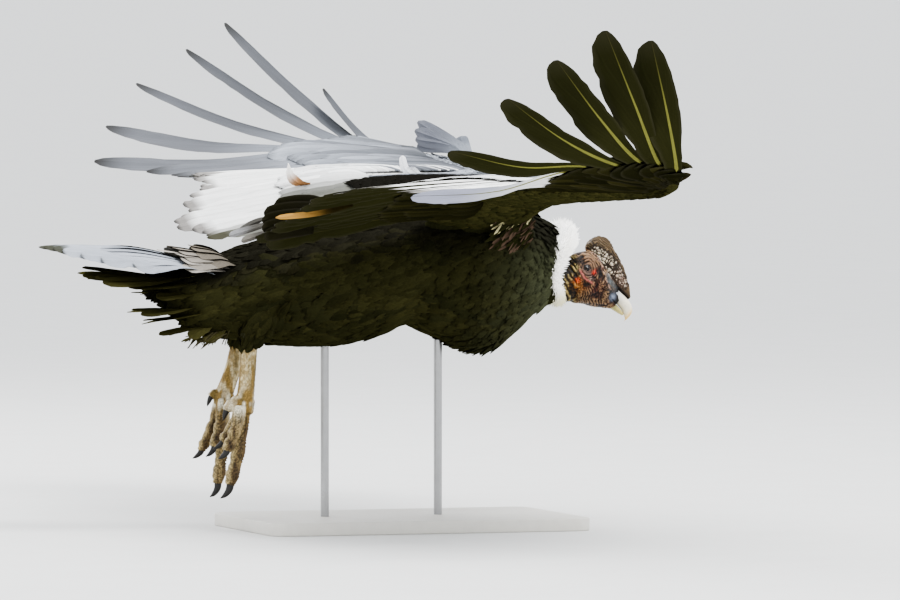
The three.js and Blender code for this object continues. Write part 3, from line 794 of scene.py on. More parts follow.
class FeatherMesh:
    """Gathers closed vanes of one coat piece and makes one mesh of them."""

    def __init__(self) -> None:
        """Starts with no feathers."""
        self.points: list[Array] = []
        self.margins: list[Array] = []
        self.quads: list[Array] = []
        self.caps: dict[int, list[Array]] = {}
        self.quad_maps: list[tuple[Array, ...]] = []
        self.cap_maps: dict[int, list[tuple[Array, ...]]] = {}
        self.count = 0

    def add(
        self, grid: Array, shape: VaneShape, roots: Array, top: Array, under: Array, mirrored: bool = False,
        quill: Array | None = None,
    ) -> None:
        """Adds feathers of one shape.

        Args:
            grid: Places, shaped feathers, rings, ring corners, 3.
            shape: The kind of feather.
            roots: Place of each root on the unwrapped skin, from 0 to 1.
            top: Colours of the upper side, shaped feathers, rings, 3.
            under: Colours of the under side, in the same shape.
            mirrored: True where the places were mirrored.
            quill: Colours of the shaft's under side, in the same shape.
        """
        number, rows, ring, _ = grid.shape
        across = np.array([c for c, _ in shape.section])
        height = np.array([h for _, h in shape.section])
        self.points.append(grid.reshape(-1, 3))
        self.margins.append(np.tile(np.abs(across) > 0.99, number * rows))
        upper = (height + np.roll(height, -1)) > 0
        on_shaft = np.maximum(np.abs(across), np.abs(np.roll(across, -1))) < 0.1
        shaft = under if quill is None else quill
        t = np.linspace(0, 1, rows)
        vane = np.stack(np.broadcast_arrays(0.5 + 0.5 * across[None, :], t[:, None]), axis=-1)
        vane = vane.reshape(-1, 2)
        quads, caps = tube_faces(rows, ring)
        column = np.tile(np.arange(ring), rows - 1)
        quads = np.where(upper[column][:, None], quads, np.roll(quads, -1, axis=1))
        sort = np.where(upper[column], 1, np.where(on_shaft[column], 2, 0))
        kinds = (
            (quads, sort, self.quads, self.quad_maps),
            (caps, np.array((1, 1)), self.caps.setdefault(ring, []), self.cap_maps.setdefault(ring, [])),
        )
        first = self.count + np.arange(number)[:, None, None] * (rows * ring)
        centre = roots[:, None, None, :]
        sides = np.stack(np.broadcast_arrays(under, top, shaft))
        for faces, kind, store, maps in kinds:
            faces = faces[:, ::-1] if mirrored else faces
            store.append((faces[None] + first).reshape(-1, faces.shape[1]))
            local = np.broadcast_to(vane[faces][None], (number, *faces.shape, 2))
            bake = centre + (local - 0.5) * PATCH
            tint = sides[kind[:, None], :, faces // ring].transpose(2, 0, 1, 3)
            maps.append((local.reshape(-1, 2), bake.reshape(-1, 2), tint.reshape(-1, 3)))
        self.count += number * rows * ring

    def build(self, name: str) -> Piece:
        """Makes the mesh.

        Args:
            name: Name of the object.

        Returns:
            The object, with its vane map, its bake map and its tints.
        """
        faces = [np.concatenate(self.quads)]
        maps = [*self.quad_maps]
        for ring in sorted(self.caps):
            faces.append(np.concatenate(self.caps[ring]))
            maps.extend(self.cap_maps[ring])
        obj = mesh_object(name, np.concatenate(self.points), faces)
        mesh = obj.data
        for label, index in ((BAKE_MAP, 1), (VANE_MAP, 0)):
            places = np.concatenate([m[index] for m in maps]).astype(np.float32)
            mesh.uv_layers.new(name=label).data.foreach_set("uv", places.ravel())
        paint(obj, np.concatenate([m[2] for m in maps]), "CORNER")
        margin = np.concatenate(self.margins)
        ends = np.zeros(len(mesh.edges) * 2, np.int32)
        mesh.edges.foreach_get("vertices", ends)
        ends = ends.reshape(-1, 2)
        sharp = mesh.attributes.new("sharp_edge", "BOOLEAN", "EDGE")
        sharp.data.foreach_set("value", margin[ends[:, 0]] & margin[ends[:, 1]])
        return obj


def curved_vane(
    path: Path, side: Along, shape: VaneShape, rows: int, width: float, thick: float,
    outer: float = 0.5, spin: Along | None = None, camber: float = 0.06,
    rag: Array | None = None, shaft: float = 0.8,
) -> Array:
    """Rings of one long feather along a curve.

    Args:
        path: The line of its shaft.
        side: Direction of its outer edge for each t.
        shape: The kind of feather.
        rows: Number of rings.
        width: Its full width.
        thick: Thickness of its web.
        outer: Share of the width outside the shaft.
        spin: Turn about the shaft in radians for each t.
        camber: How far the edges bend down, in half widths.
        rag: Factors on the two edges for each ring.
        shaft: Radius of the shaft at its root.

    Returns:
        Places, shaped 1, rings, ring corners, 3.
    """
    t, half = shape.rows(rows)
    along = path.tangent(t)
    across = side(t)
    across = unit(across - along * np.sum(across * along, axis=-1, keepdims=True))
    up = np.cross(across, along)
    angle = np.zeros(rows) if spin is None else spin(t)
    c, s = np.cos(angle)[:, None], np.sin(angle)[:, None]
    across, up = across * c + up * s, up * c - across * s
    section = np.array(shape.section)
    x, h = section[:, 0], section[:, 1]
    rag = np.ones((rows, 2)) if rag is None else rag
    inner_edge, outer_edge = width * (1 - outer) * rag[:, :1], width * outer * rag[:, 1:]
    wide = np.where(x[None] < 0, inner_edge, outer_edge) * half[:, None]
    shaft_radius = (shaft * (1.08 - t))[:, None]
    ridge, flank = np.abs(h) > 1, np.abs(np.abs(x) - 0.07) < 0.01
    offset = np.where(flank, np.sign(x) * np.minimum(shaft_radius, 0.4 * wide), wide * x[None])
    lift = np.where(ridge, np.sign(h) * (0.5 * thick + 0.8 * shaft_radius), thick * h[None])
    lift = lift - camber * np.abs(x[None]) ** 2 * wide
    place = path.at(t)[:, None] + across[:, None] * offset[..., None] + up[:, None] * lift[..., None]
    return place[None]


def ragged(chance: np.random.Generator, rows: int, depth: float) -> Array:
    """Factors that notch a feather's two edges here and there.

    Args:
        chance: Source of the small differences.
        rows: Number of rings.
        depth: Depth of the deepest notch, as a share of the width.

    Returns:
        Two factors for each ring.
    """
    rag = 1.0 - depth * chance.random((rows, 2)) ** 4
    rag[: rows // 4] = 1.0
    return rag


# The bird's driving sizes, the same as its solids'


BODY_STATIONS = (  # x, top z, bottom z, half width, from the neck back to the rump
    (178, 96, -11, 46), (158, 122, -19, 64), (132, 141, -30, 84), (104, 147, -52, 99), (70, 149, -77, 110),
    (34, 149, -82, 117), (-20, 146, -64, 119), (-72, 141, -44, 117), (-118, 135, -57, 116),
    (-174, 126, -70, 112), (-250, 112, -73, 99), (-322, 97, -66, 74), (-370, 82, -57, 54),
    (-404, 74, -42, 43), (-436, 64, -14, 31), (-458, 48, 16, 18),
)
NECK_STATIONS = (  # x, z, pitch, reach up, reach down, half width
    (150, 30, 0, 34, 28, 30), (187, 26, 0, 36, 32, 31), (201, 32, 12, 41, 37, 34),
    (216, 33, 25, 44, 41, 36), (231, 27, 36, 35, 42, 36), (243, 18, 43, 27, 36, 32),
    (254, 7, 46, 25, 28, 25), (262, -2, 46, 21, 18, 19), (270, -10, 46, 15, 9, 13),
)
COMB_STATIONS = (  # f, lower edge u, upper edge u, half thickness
    (-20, 33, 49, 8), (-14, 27, 60, 10.5), (0, 26, 66, 11), (14, 24, 63, 10.5), (28, 23, 59, 10),
    (44, 22, 55, 9.5), (58, 21, 49.5, 9), (72, 21.5, 42, 8), (84, 22.5, 34, 6.5), (91, 23, 29, 4.5),
)
BILL_UPPER = (  # f, lower edge u, upper edge u, half width
    (62, 1, 20, 13), (67, 2, 21, 13.5), (76, 3.5, 22, 12.5), (86, 4.5, 22.5, 11), (95, 4, 22, 9.5),
    (103, 1.5, 19.5, 7.5), (108.5, -1, 15, 5.5), (111, -3, 9, 3.4), (110.5, -5.5, 2, 1.4),
)
BILL_LOWER = (
    (58, -12, 0, 12), (64, -11, 0.5, 11.5), (74, -9.5, 2, 10.5), (84, -7, 3.2, 9), (94, -4.2, 3, 6.8),
    (102, -1.6, 1.4, 3.8),
)
ARM_STATIONS = (  # leading edge x, y, z, rear edge x, half thickness
    (96, 78, 128, -70, 26), (133, 180, 168, -88, 22), (165, 260, 176, -92, 19), (184, 306, 178, -80, 18),
    (212, 390, 181, 64, 14), (226, 440, 187, 158, 12), (196, 545, 203, 140, 10), (160, 642, 214, 132, 6),
)
SHOULDER, ELBOW, WRIST, HAND_TIP = (
    np.array(p, float) for p in ((10, 110, 140), (-42, 322, 190), (190, 438, 187), (146, 636, 212))
)
TRAILING = (
    (-352, 132, 96), (-372, 215, 114), (-334, 305, 152), (-304, 390, 178), (-278, 470, 188),
    (-264, 560, 185), (-252, 606, 180),
)
PRIMARIES = (  # where each leaves the coverts, then its tip, first to tenth
    (1, 527, 194, -250, 645, 181), (-8, 559, 198, -243, 681, 180), (-17, 596, 203, -242, 720, 182),
    (-24, 637, 209, -268, 775, 187), (-28, 678, 217, -335, 850, 203), (-24, 716, 224, -296, 915, 259),
    (17, 724, 228, -227, 971, 328), (54, 727, 235, -146, 954, 384), (87, 733, 231, -75, 968, 427),
    (120, 725, 220, 9, 930, 412),
)
FAR_LAST_TIP = (44, 806, 320)
NEAR_DROOP = 22.0
FACE_STAINS = (  # middle f and u, reach in f and u, colour, strength
    (11, -28, 12, 9, (0.64, 0.38, 0.12), 0.8), (2, -23, 4.5, 4, (0.80, 0.27, 0.12), 0.9),
    (12, 5, 2.8, 4.6, (0.76, 0.20, 0.13), 0.95), (15, -5, 4, 4, (0.52, 0.44, 0.42), 0.6),
    (2, -3, 7, 3.6, (0.46, 0.38, 0.36), 0.6), (34, -12, 12, 13, (0.37, 0.18, 0.15), 0.6),
    (34, -30, 22, 10, (0.25, 0.18, 0.11), 0.8),
)
# The nose's patches, in the same columns as the face's; the first row is a painted highlight on the smooth
# nose, the others its own colours.
NOSE_STAINS_AND_HIGHLIGHT = (
    (36, 27, 5, 2.6, (0.86, 0.88, 0.90), 0.6), (54, 8, 9, 6, (0.17, 0.17, 0.16), 0.85),
    (65, 3, 5, 5.5, (0.55, 0.59, 0.67), 0.75),
)
SKULL = (214.4, 47.0, 46.0)  # x and z of the eye line, pitch of the face
EYE = (1.0, 28.0, 1.0, 9.0)  # f, distance out, u, radius


def face_point(f: Array, y: Array, u: Array) -> Array:
    """Places on the head's own axes: f runs to the bill tip, u up.

    Args:
        f: Distance forward from the eye.
        y: Distance to the left.
        u: Distance up.

    Returns:
        The places.
    """
    a = math.radians(SKULL[2])
    f, y, u = np.broadcast_arrays(np.asarray(f, float), np.asarray(y, float), np.asarray(u, float))
    x = SKULL[0] + f * math.cos(a) + u * math.sin(a)
    z = SKULL[1] - f * math.sin(a) + u * math.cos(a)
    return np.stack([x, y, z], axis=-1)


def face_axes(points: Array) -> tuple[Array, Array, Array]:
    """Turns places into the head's own coordinates.

    Args:
        points: The places.

    Returns:
        f, y and u.
    """
    a = math.radians(SKULL[2])
    x, z = points[..., 0] - SKULL[0], points[..., 2] - SKULL[1]
    return x * math.cos(a) - z * math.sin(a), points[..., 1], x * math.sin(a) + z * math.cos(a)


def body_surface(u: Array, v: Array, inset: float = 0.0) -> Array:
    """Places on the torso and rump.

    Args:
        u: From the neck, 0, to the tail, 1.
        v: Round the body, 0 at the left flank and a quarter at the back.
        inset: How far inside the outer surface.

    Returns:
        The places.
    """
    x, top, bottom, half = np.moveaxis(BODY_PATH.at(u), -1, 0)
    middle = (top + bottom) / 2 + 0.08 * (top - bottom)
    c, s = np.cos(2 * np.pi * v), np.sin(2 * np.pi * v)
    y = np.sign(c) * np.abs(c) ** 0.9 * (half - inset)
    z = middle + np.sign(s) * np.abs(s) ** 0.9 * (np.where(s > 0, top - middle, middle - bottom) - inset)
    return np.stack(np.broadcast_arrays(x, y, z), axis=-1)


BODY_PATH = Path(BODY_STATIONS)
ARM_PATH = Path(ARM_STATIONS)
TRAILING_PATH = Path(TRAILING)


def arm_surface(u: Array, v: Array, sign: int, inset: float = 0.0) -> Array:
    """Places on the flesh of a wing.

    Args:
        u: From the shoulder, 0, to the hand's end, 1.
        v: Round it: 0 at the leading edge, up to a half along the upper side, then back below.
        sign: 1 for the left wing and -1 for the right.
        inset: How far inside the outer surface.

    Returns:
        The places.
    """
    x, y, z, rear, half = np.moveaxis(ARM_PATH.at(u), -1, 0)
    chord = (1 - np.cos(2 * np.pi * v)) / 2
    bulge = np.sin(2 * np.pi * v) * (1.15 - 0.5 * chord)
    depth = np.maximum(half - inset, 2.0)
    place = (x - inset + (rear - x + 2 * inset) * chord, y * sign, z - 4 * (1 - chord) + depth * bulge)
    return np.stack(np.broadcast_arrays(*place), axis=-1)


@dataclass
class CoatSpec:
    """How one field of small body feathers lies on a surface."""

    rows: int
    columns: int
    length: tuple[float, float]
    width: float
    span: tuple[float, float] = (0.0, 1.0)
    girth: tuple[float, float] = (0.0, 1.0)
    rings: int = 5
    thick: float = 1.1
    lift: float = 5.0
    loose: float = 0.18
    seed: int = 1
    atlas: tuple[float, float, float, float] = (0.0, 0.0, 1.0, 1.0)


def coat(
    mesh: FeatherMesh, surface: Surface, spec: CoatSpec, tints: Tints, lie: Surface | None = None,
    flip: bool = False,
) -> None:
    """Lays small feathers in staggered rows over a surface.

    Args:
        mesh: The coat piece that takes them.
        surface: Places of the skin for u and v.
        spec: How they lie.
        tints: Upper and under colours for u, v and a random number.
        lie: Direction that they lie in, for roots and normals; along growing u without it.
        flip: True where the surface's v runs the other way round.
    """
    chance = np.random.default_rng(spec.seed)
    i, j = np.meshgrid(np.arange(spec.rows), np.arange(spec.columns), indexing="ij")
    i, j = i.ravel(), j.ravel()
    u = (i + 0.5 + chance.uniform(-0.3, 0.3, i.size)) / spec.rows
    v = (j + 0.5 * (i % 2) + 0.25 + chance.uniform(-0.25, 0.25, i.size)) / spec.columns
    u = mix(*spec.span, np.clip(u, 0.001, 0.999))
    v = mix(*spec.girth, v)
    roots = surface(u, v)
    step = 0.004
    du = surface(np.minimum(u + step, 1.0), v) - surface(np.maximum(u - step, 0.0), v)
    dv = surface(u, v + step) - surface(u, v - step)
    normal = unit(np.cross(du, dv)) * (-1 if flip else 1)
    forward = unit(du) if lie is None else unit(lie(roots, normal))
    forward = unit(forward - normal * np.sum(forward * normal, axis=-1, keepdims=True))
    across = np.cross(forward, normal)
    swing = chance.normal(0, spec.loose, i.size)[:, None]
    c, s = np.cos(swing), np.sin(swing)
    forward, across = forward * c + across * s, across * c - forward * s
    size = chance.uniform(0.86, 1.16, i.size)
    share_u = (u - spec.span[0]) / (spec.span[1] - spec.span[0])
    share_v = (v - spec.girth[0]) / (spec.girth[1] - spec.girth[0])
    length = mix(*spec.length, share_u) * size
    rise = spec.lift * chance.uniform(0.7, 1.3, i.size)
    t, half = CONTOUR.rows(spec.rings)
    section = np.array(CONTOUR.section)
    curl = chance.normal(0, 0.05, i.size)
    wide = 0.5 * spec.width * size[:, None] * half[None]
    centre = (
        roots[:, None] + forward[:, None] * (length[:, None] * t[None])[..., None]
        + across[:, None] * (length[:, None] * curl[:, None] * t[None] ** 2)[..., None]
        + normal[:, None] * (rise[:, None] * np.sin(np.pi * (0.1 + 0.62 * t[None])))[..., None]
    )
    x, h = section[:, 0], section[:, 1]
    drop = -0.22 * np.abs(x)[None, None] * wide[..., None]
    grid = (
        centre[:, :, None] + across[:, None, None] * (wide[..., None] * x)[..., None]
        + normal[:, None, None] * (drop + spec.thick * 0.5 * h)[..., None]
    )
    top, under = tints(u, v, chance.random(i.size))
    a0, b0, a1, b1 = spec.atlas
    place = np.stack([a0 + (a1 - a0) * share_v % 1.0, b0 + (b1 - b0) * share_u], axis=-1)
    place = 0.01 + 0.98 * place
    along = np.linspace(1.25, 0.8, spec.rings)[None, :, None]
    mesh.add(grid, CONTOUR, place, top[:, None] * along, under[:, None] * along)


class Tone(Enum):
    """Plumage colours. The silver and the grey are black feathers' faint grey cast with painted sheen on
    it.
    """

    JET = (0.105, 0.10, 0.088)
    BLACK = (0.15, 0.152, 0.088)
    SOOT = (0.18, 0.182, 0.10)
    BREAST = (0.31, 0.325, 0.255)
    UMBER = (0.24, 0.232, 0.132)
    # These two are painted sheen on black feathers, over their faint grey cast.
    SILVER = (0.66, 0.68, 0.71)
    GREY = (0.50, 0.51, 0.53)
    WHITE = (0.93, 0.93, 0.92)
    TIP = (0.20, 0.20, 0.20)
    DOWN = (0.99, 0.985, 0.97)
    CREAM = (0.86, 0.84, 0.66)
    QUILL = (0.47, 0.47, 0.25)

    @property
    def linear(self) -> Array:
        """The colour in linear light."""
        return srgb(*self.value)


@dataclass
class Torso:
    """Torso, rump and thighs in their coat of small feathers."""

    depth: float = 8.0
    back: CoatSpec = field(default_factory=lambda: CoatSpec(
        72, 70, (34, 46), 17, span=(0.085, 1.0), seed=11, lift=3.2, loose=0.2))
    thigh_rows: int = 16
    thigh_depth: float = 6.0

    def skin_parts(self) -> list[Piece]:
        """Forms of the torso and thighs, inside the coat.

        Returns:
            The torso's form and both thighs'.
        """
        u = np.linspace(0, 1, 40)[:, None]
        v = np.linspace(0, 1, 36, endpoint=False)[None]
        thighs = [loft("thigh_form", self.thigh_surface(u, v, side)) for side in Side]
        return [loft("torso_form", body_surface(u, v, self.depth)), *thighs]

    def thigh_surface(self, u: Array, v: Array, side: Side) -> Array:
        """Places on a thigh's skin.

        Args:
            u: From the hip, 0, to the heel, 1.
            v: Round it.
            side: Left or right.

        Returns:
            The places.
        """
        x, y, z, r = np.moveaxis(Path(LEGS[side].thigh).at(u), -1, 0)
        c, s = np.cos(2 * np.pi * v), np.sin(2 * np.pi * v)
        r = np.maximum(r - self.thigh_depth, 3.0)
        places = (x + r * c * 0.9, (y + r * s) * side.value, z + r * c * 0.35)
        return np.stack(np.broadcast_arrays(*places), axis=-1)

    @staticmethod
    def tints(u: Array, v: Array, luck: Array) -> tuple[Array, Array]:
        """Colours of the torso's feathers.

        Args:
            u: From the neck to the tail.
            v: Round the body.
            luck: A random number for each feather.

        Returns:
            Upper and under colours.
        """
        front = np.clip(1.0 - u / 0.35, 0, 1)
        patchy = 0.5 + 0.5 * np.sin(23 * u + 5 * np.sin(31 * v)) * np.sin(19 * v + 3)
        back = smooth(np.sin(2 * np.pi * v), 0.15, 0.75)
        tone = dye(Tone.BLACK.linear, Tone.BREAST.linear, front * 0.8)
        tone = dye(tone, Tone.UMBER.linear, 0.55 * patchy * (1 - front))
        tone = dye(tone, Tone.JET.linear, back * 0.85) * (0.78 + 0.44 * luck)[:, None]
        return tone, tone * 0.8

    @staticmethod
    def thigh_tints(_u: Array, _v: Array, luck: Array) -> tuple[Array, Array]:
        """Dark colours, browner by chance."""
        tone = dye(Tone.BLACK.linear, Tone.UMBER.linear, luck * 0.5)
        return tone, tone * 0.8

    @staticmethod
    def lie(roots: Array, normal: Array) -> Array:
        """Direction of the torso's feathers: backwards, and down the breast."""
        front = smooth(roots[:, 0], 70, 150) * (1 - smooth(-normal[:, 2], -0.25, 0.3))
        return np.stack([-1 + 0.6 * front, np.zeros(len(roots)), -0.2 - 0.75 * front], axis=-1)

    def build(self, finishes: Finishes) -> None:
        """Makes the coat pieces of the torso and thighs.

        Args:
            finishes: The materials.
        """
        mesh = FeatherMesh()
        coat(mesh, lambda u, v: body_surface(u, v, self.depth), self.back, self.tints, self.lie)
        dress(mesh.build("coat_torso"), finishes.body, "plumage_dark", "torso")
        for side in Side:
            mesh = FeatherMesh()
            spec = CoatSpec(self.thigh_rows, 30, (36, 17), 17, seed=17 + side.value, lift=3, loose=0.3)
            flip = side is Side.RIGHT
            coat(mesh, lambda u, v: self.thigh_surface(u, v, side), spec, self.thigh_tints, flip=flip)
            node = f"thigh_{side.label}"
            dress(mesh.build(f"coat_{node}"), finishes.body, "plumage_dark", node)


@dataclass
class Quill:
    """One flight feather's shaft."""

    path: Path
    place: float  # on the bake map
    finger: float  # 1 where its outer half stands alone as a finger
    primary: int  # its number among the primaries, 0 for the others


@dataclass(frozen=True)
class Tier:
    """One row of coverts along the quills."""

    side: int  # 1 above the quills and -1 below
    row: int  # longest first
    reach: float  # how far along the quills its tips lie
    start: float  # how far along the quills its roots lie
    high: float  # its height over the quills


COVERT_TIERS = (
    Tier(1, 0, 0.46, 0.06, 6.0), Tier(1, 1, 0.34, 0.04, 8.5), Tier(1, 2, 0.24, 0.02, 10.5),
    Tier(-1, 0, 0.40, 0.06, 6.0), Tier(-1, 1, 0.29, 0.04, 8.0), Tier(-1, 2, 0.20, 0.02, 10.0),
    Tier(-1, 3, 0.14, 0.0, 11.5),
)


@dataclass
class Wing:
    """One wing: flight feathers, tiers of coverts, and small feathers on its flesh."""

    side: Side
    humerals: int = 9
    secondaries: int = 19
    shingle: float = math.radians(7)
    hand_shingle: float = math.radians(14)
    rows: int = 22
    covert_rows: int = 8
    narrowest: float = 13.0  # width of a covert
    depth: float = 5.0  # of the flesh below its coat
    far_rise: tuple[float, ...] = (0.1, 0.1, 0.07, 0.02, -0.03, -0.25)  # of the left fingers' outer edges

    def __post_init__(self) -> None:
        """Works out the side's sign and its quills."""
        self.sign = self.side.value
        self.chance = np.random.default_rng(101 if self.side is Side.LEFT else 202)
        self.quills = self.make_quills()

    def flip(self, points: Array) -> Array:
        """Brings places of the left wing to this side."""
        return points * np.array((1.0, float(self.sign), 1.0))

    def make_quills(self) -> list[Quill]:
        """Shafts of all flight feathers, body to finger tip, on the left side's axes.

        Returns:
            The shafts, humerals first and primaries last.
        """
        quills: list[Quill] = []
        total = self.humerals + self.secondaries
        for k in range(total):
            tip = TRAILING_PATH.at(k / (total - 1)) + self.chance.normal(0, (7, 2, 1.2))
            if self.sign > 0:
                tip[0] += 13 * float(smooth(k, 6, 12))
            if k < self.humerals:
                root = mix(SHOULDER, ELBOW, 0.12 + 0.8 * k / self.humerals)
            else:
                root = mix(ELBOW, WRIST, 0.03 + 0.93 * (k - self.humerals) / (self.secondaries - 1))
            path = Path((root, mix(root, tip, 0.4) + (0, 0, 9), mix(root, tip, 0.7) + (0, 0, 6), tip))
            quills.append(Quill(path, 0.62 * k / (total - 1), 0.0, 0))
        for k, row in enumerate(PRIMARIES):
            root = mix(WRIST, HAND_TIP, 0.06 + 0.94 * k / 9)
            out, tip = np.array(row[:3], float), np.array(row[3:], float)
            if self.sign > 0 and k == 9:
                tip = np.array(FAR_LAST_TIP, float)
            if self.sign < 0:
                tip[2] -= NEAR_DROOP * max(0.0, 1.0 - abs(k - 3.7) / 2)
            middle = mix(out, tip, 0.5) + (4, 3, -12 if k > 3 else 0)
            finger = float(smooth(k, 3, 6))
            quills.append(Quill(Path((root, out, middle, tip)), 0.65 + 0.035 * k, finger, k + 1))
        return quills

    def frame_of(self, i: int) -> tuple[Path, Path, float]:
        """The neighbours of a quill and how many steps they are apart.

        Args:
            i: Number of the quill.

        Returns:
            The line before it, the line after it, and the steps.
        """
        last = len(self.quills) - 1
        before, after = self.quills[max(0, i - 1)].path, self.quills[min(last, i + 1)].path
        return before, after, 1.0 if i in (0, last) else 2.0

    def tilt_of(self, q: Quill) -> float:
        """Turn that lays a feather over the next one."""
        return mix(self.shingle, self.hand_shingle, q.finger)

    def side_of(self, i: int) -> Along:
        """Direction of a feather's outer edge, for each t.

        Args:
            i: Number of the quill.

        Returns:
            A function of places along the quill.
        """
        before, after, _ = self.frame_of(i)
        finger = self.quills[i].finger
        tip_side = np.array((0.83, 0.55, 0.05))
        if self.sign > 0:
            tip_side = np.array((0.62, 0.77, self.far_rise[max(0, self.quills[i].primary - 5)]))
        start, end = (0.12, 0.5) if self.sign > 0 else (0.35, 0.8)

        def side(t: Array) -> Array:
            """From one neighbour to the other, turned to the finger's own side near its tip."""
            across = unit(after.at(t) - before.at(t))
            return unit(mix(across, tip_side, (finger * smooth(t, start, end))[:, None]))

        return side

    def flight_tints(self, q: Quill, rows: int) -> tuple[Array, Array, Array]:
        """Colours along a flight feather: white secondaries, primaries with painted silver sheen, dark
        below, with painted pale sheen below the near wing's first five primaries.

        Args:
            q: The feather.
            rows: Number of rings.

        Returns:
            Upper and under colours and the shaft's, one feather.
        """
        t = np.linspace(0, 1, rows)[:, None]
        low = mix(Tone.SOOT.linear, Tone.BLACK.linear, 0.6 * t)
        if q.primary:
            # The primaries' upper sides are black with painted silver and grey sheen.
            top = mix(Tone.SILVER.linear, Tone.GREY.linear, smooth(t, 0.2, 0.6)) * (0.8 - 0.25 * q.finger)
            top = mix(top, Tone.TIP.linear, smooth(t, 0.8, 1.0) * 0.9)
        else:
            worn = self.chance.uniform(0.78, 0.91)
            top = mix(Tone.WHITE.linear, srgb(0.47, 0.455, 0.44), smooth(t, worn - 0.03, worn + 0.06) * 0.9)
            top = mix(top, Tone.TIP.linear, smooth(t, 0.95, 1.0) * 0.8)
            top = mix(top, Tone.SOOT.linear, 0.85 * (1 - smooth(q.place, 0.0, 0.06)))
        # Painted pale sheen on the undersides of the near wing's first five primaries, in place of their
        # dark colour.
        if self.sign < 0 and 1 <= q.primary <= 5:
            pale = srgb(0.66, 0.67, 0.74) if q.primary % 2 else srgb(0.90, 0.88, 0.89)
            low = mix(Tone.WHITE.linear, pale, smooth(t, 0.35, 0.75))
        luck = self.chance.uniform(0.86, 1.05)
        bare = Tone.QUILL if q.primary > 3 else Tone.UMBER
        quill = mix(bare.linear, Tone.UMBER.linear, smooth(t, 0.55, 0.95))
        return (top * luck)[None], (low * luck)[None], quill[None]

    def flight(self, mesh: FeatherMesh) -> None:
        """Adds the flight feathers.

        Args:
            mesh: The coat piece.
        """
        for i, q in enumerate(self.quills):
            before, after, steps = self.frame_of(i)
            gap = float(np.linalg.norm(after.at(0.6) - before.at(0.6))) / steps
            tilt = self.tilt_of(q)
            rows = self.rows + (8 if q.finger > 0.5 else 0)
            if q.primary:
                shape, notch, shaft = FINGER if q.finger > 0.01 else FLIGHT, 0.12, 2.5 + 1.3 * q.finger
                width, outer = 48 + 16 * q.finger, 0.5 - 0.16 * q.finger
            else:
                shape, notch, shaft = BLUNT, 0.42, 1.3
                width, outer = gap * 2.1, 0.42
            grid = curved_vane(
                q.path, self.side_of(i), shape, rows, width, 1.0, outer=outer,
                spin=lambda t: tilt * (1 - q.finger * smooth(t, 0.4, 0.75)),
                rag=ragged(self.chance, rows, notch), shaft=shaft,
            )
            top, low, quill = self.flight_tints(q, rows)
            place = np.array([[q.place, 0.25]])
            mesh.add(self.flip(grid), shape, place, top, low, self.sign < 0, quill)

    def coverts(self, mesh: FeatherMesh) -> None:
        """Adds the tiers of coverts, on each quill and between it and the next.

        Args:
            mesh: The coat piece.
        """
        last = len(self.quills) - 1
        for tier in COVERT_TIERS:
            for i in range(last + 1):
                for half in (0.0, 0.5) if i < last else (0.0,):
                    self.covert(mesh, i, half, tier)

    def covert(self, mesh: FeatherMesh, i: int, half: float, tier: Tier) -> None:
        """Adds one covert.

        Args:
            mesh: The coat piece.
            i: Quill that it lies along.
            half: 0 on the quill, a half between it and the next.
            tier: Its row.
        """
        q = self.quills[i]
        following = self.quills[min(i + 1, len(self.quills) - 1)]
        before, after, steps = self.frame_of(i)
        side = self.side_of(i)
        start, reach = tier.start, tier.reach - 0.1 * q.finger
        t = np.linspace(start, reach + self.chance.normal(0, 0.012), 5)
        line = mix(q.path.at(t), following.path.at(t), half)
        rise = unit(np.cross(side(t), q.path.tangent(t)))
        bow = np.array((0.55, 1.0, 1.0, 0.9, 0.72))[:, None]
        gain = tier.high + 2.5 * max(q.finger, 0.4 if q.primary else 0.0)
        path = Path(line + rise * tier.side * gain * bow)
        gap = float(np.linalg.norm(after.at(reach) - before.at(reach))) / steps
        width = max(gap * (1.25 if tier.side > 0 else 1.5), self.narrowest)
        tilt = self.tilt_of(q) + self.chance.normal(0, 0.03)
        grid = curved_vane(
            path, lambda s: side(start + (reach - start) * s), COVERT, self.covert_rows, width, 0.9,
            spin=lambda s: np.full(len(s), tilt), camber=0.1 * tier.side,
        )
        top, low = self.covert_tints(q, tier)
        place = np.array([[q.place + 0.005 * half, (0.55 if tier.side > 0 else 0.05) + 0.1 * tier.row]])
        mesh.add(self.flip(grid), COVERT, place, top, low, self.sign < 0)

    def covert_tints(self, q: Quill, tier: Tier) -> tuple[Array, Array]:
        """Colours of a covert.

        Args:
            q: The quill that it lies along.
            tier: Its row.

        Returns:
            Upper and under colours, one feather.
        """
        t = np.linspace(0, 1, self.covert_rows)[:, None]
        luck = self.chance.uniform(0.78, 1.1)
        if tier.side < 0:
            tone = mix(Tone.UMBER.linear, Tone.BLACK.linear, self.chance.random()) * luck * (0.36 + 0.4 * t)
            return tone[None], tone[None]
        # Painted sheen: grey and silver on the black upper coverts; the white ones keep their own colour.
        if q.primary:
            top = mix(Tone.GREY.linear * 0.6, Tone.SILVER.linear, t * (1.0 - 0.25 * tier.row))
            top = top * self.chance.uniform(0.62, 1.12) * (1 - 0.35 * smooth(t, 0.86, 1.0))
        elif tier.row == 0 or self.chance.random() > smooth(q.place, 0.26, 0.42) * (0.55 + 0.2 * tier.row):
            top = mix(Tone.WHITE.linear, Tone.SILVER.linear, 0.2 * t)
        else:
            silver = 0.6 * self.chance.random() + 0.3 * t
            top = mix(Tone.GREY.linear * 0.5, Tone.SILVER.linear * 0.9, silver)
        inner = 0.85 * max(1 - float(smooth(q.place, 0.1, 0.2)), float(smooth(q.primary, 7.5, 9.5)))
        top = mix(top, Tone.SOOT.linear, inner) * luck
        low = mix(Tone.UMBER.linear, Tone.BLACK.linear, self.chance.random())
        return top[None], np.tile(low, (1, self.covert_rows, 1))

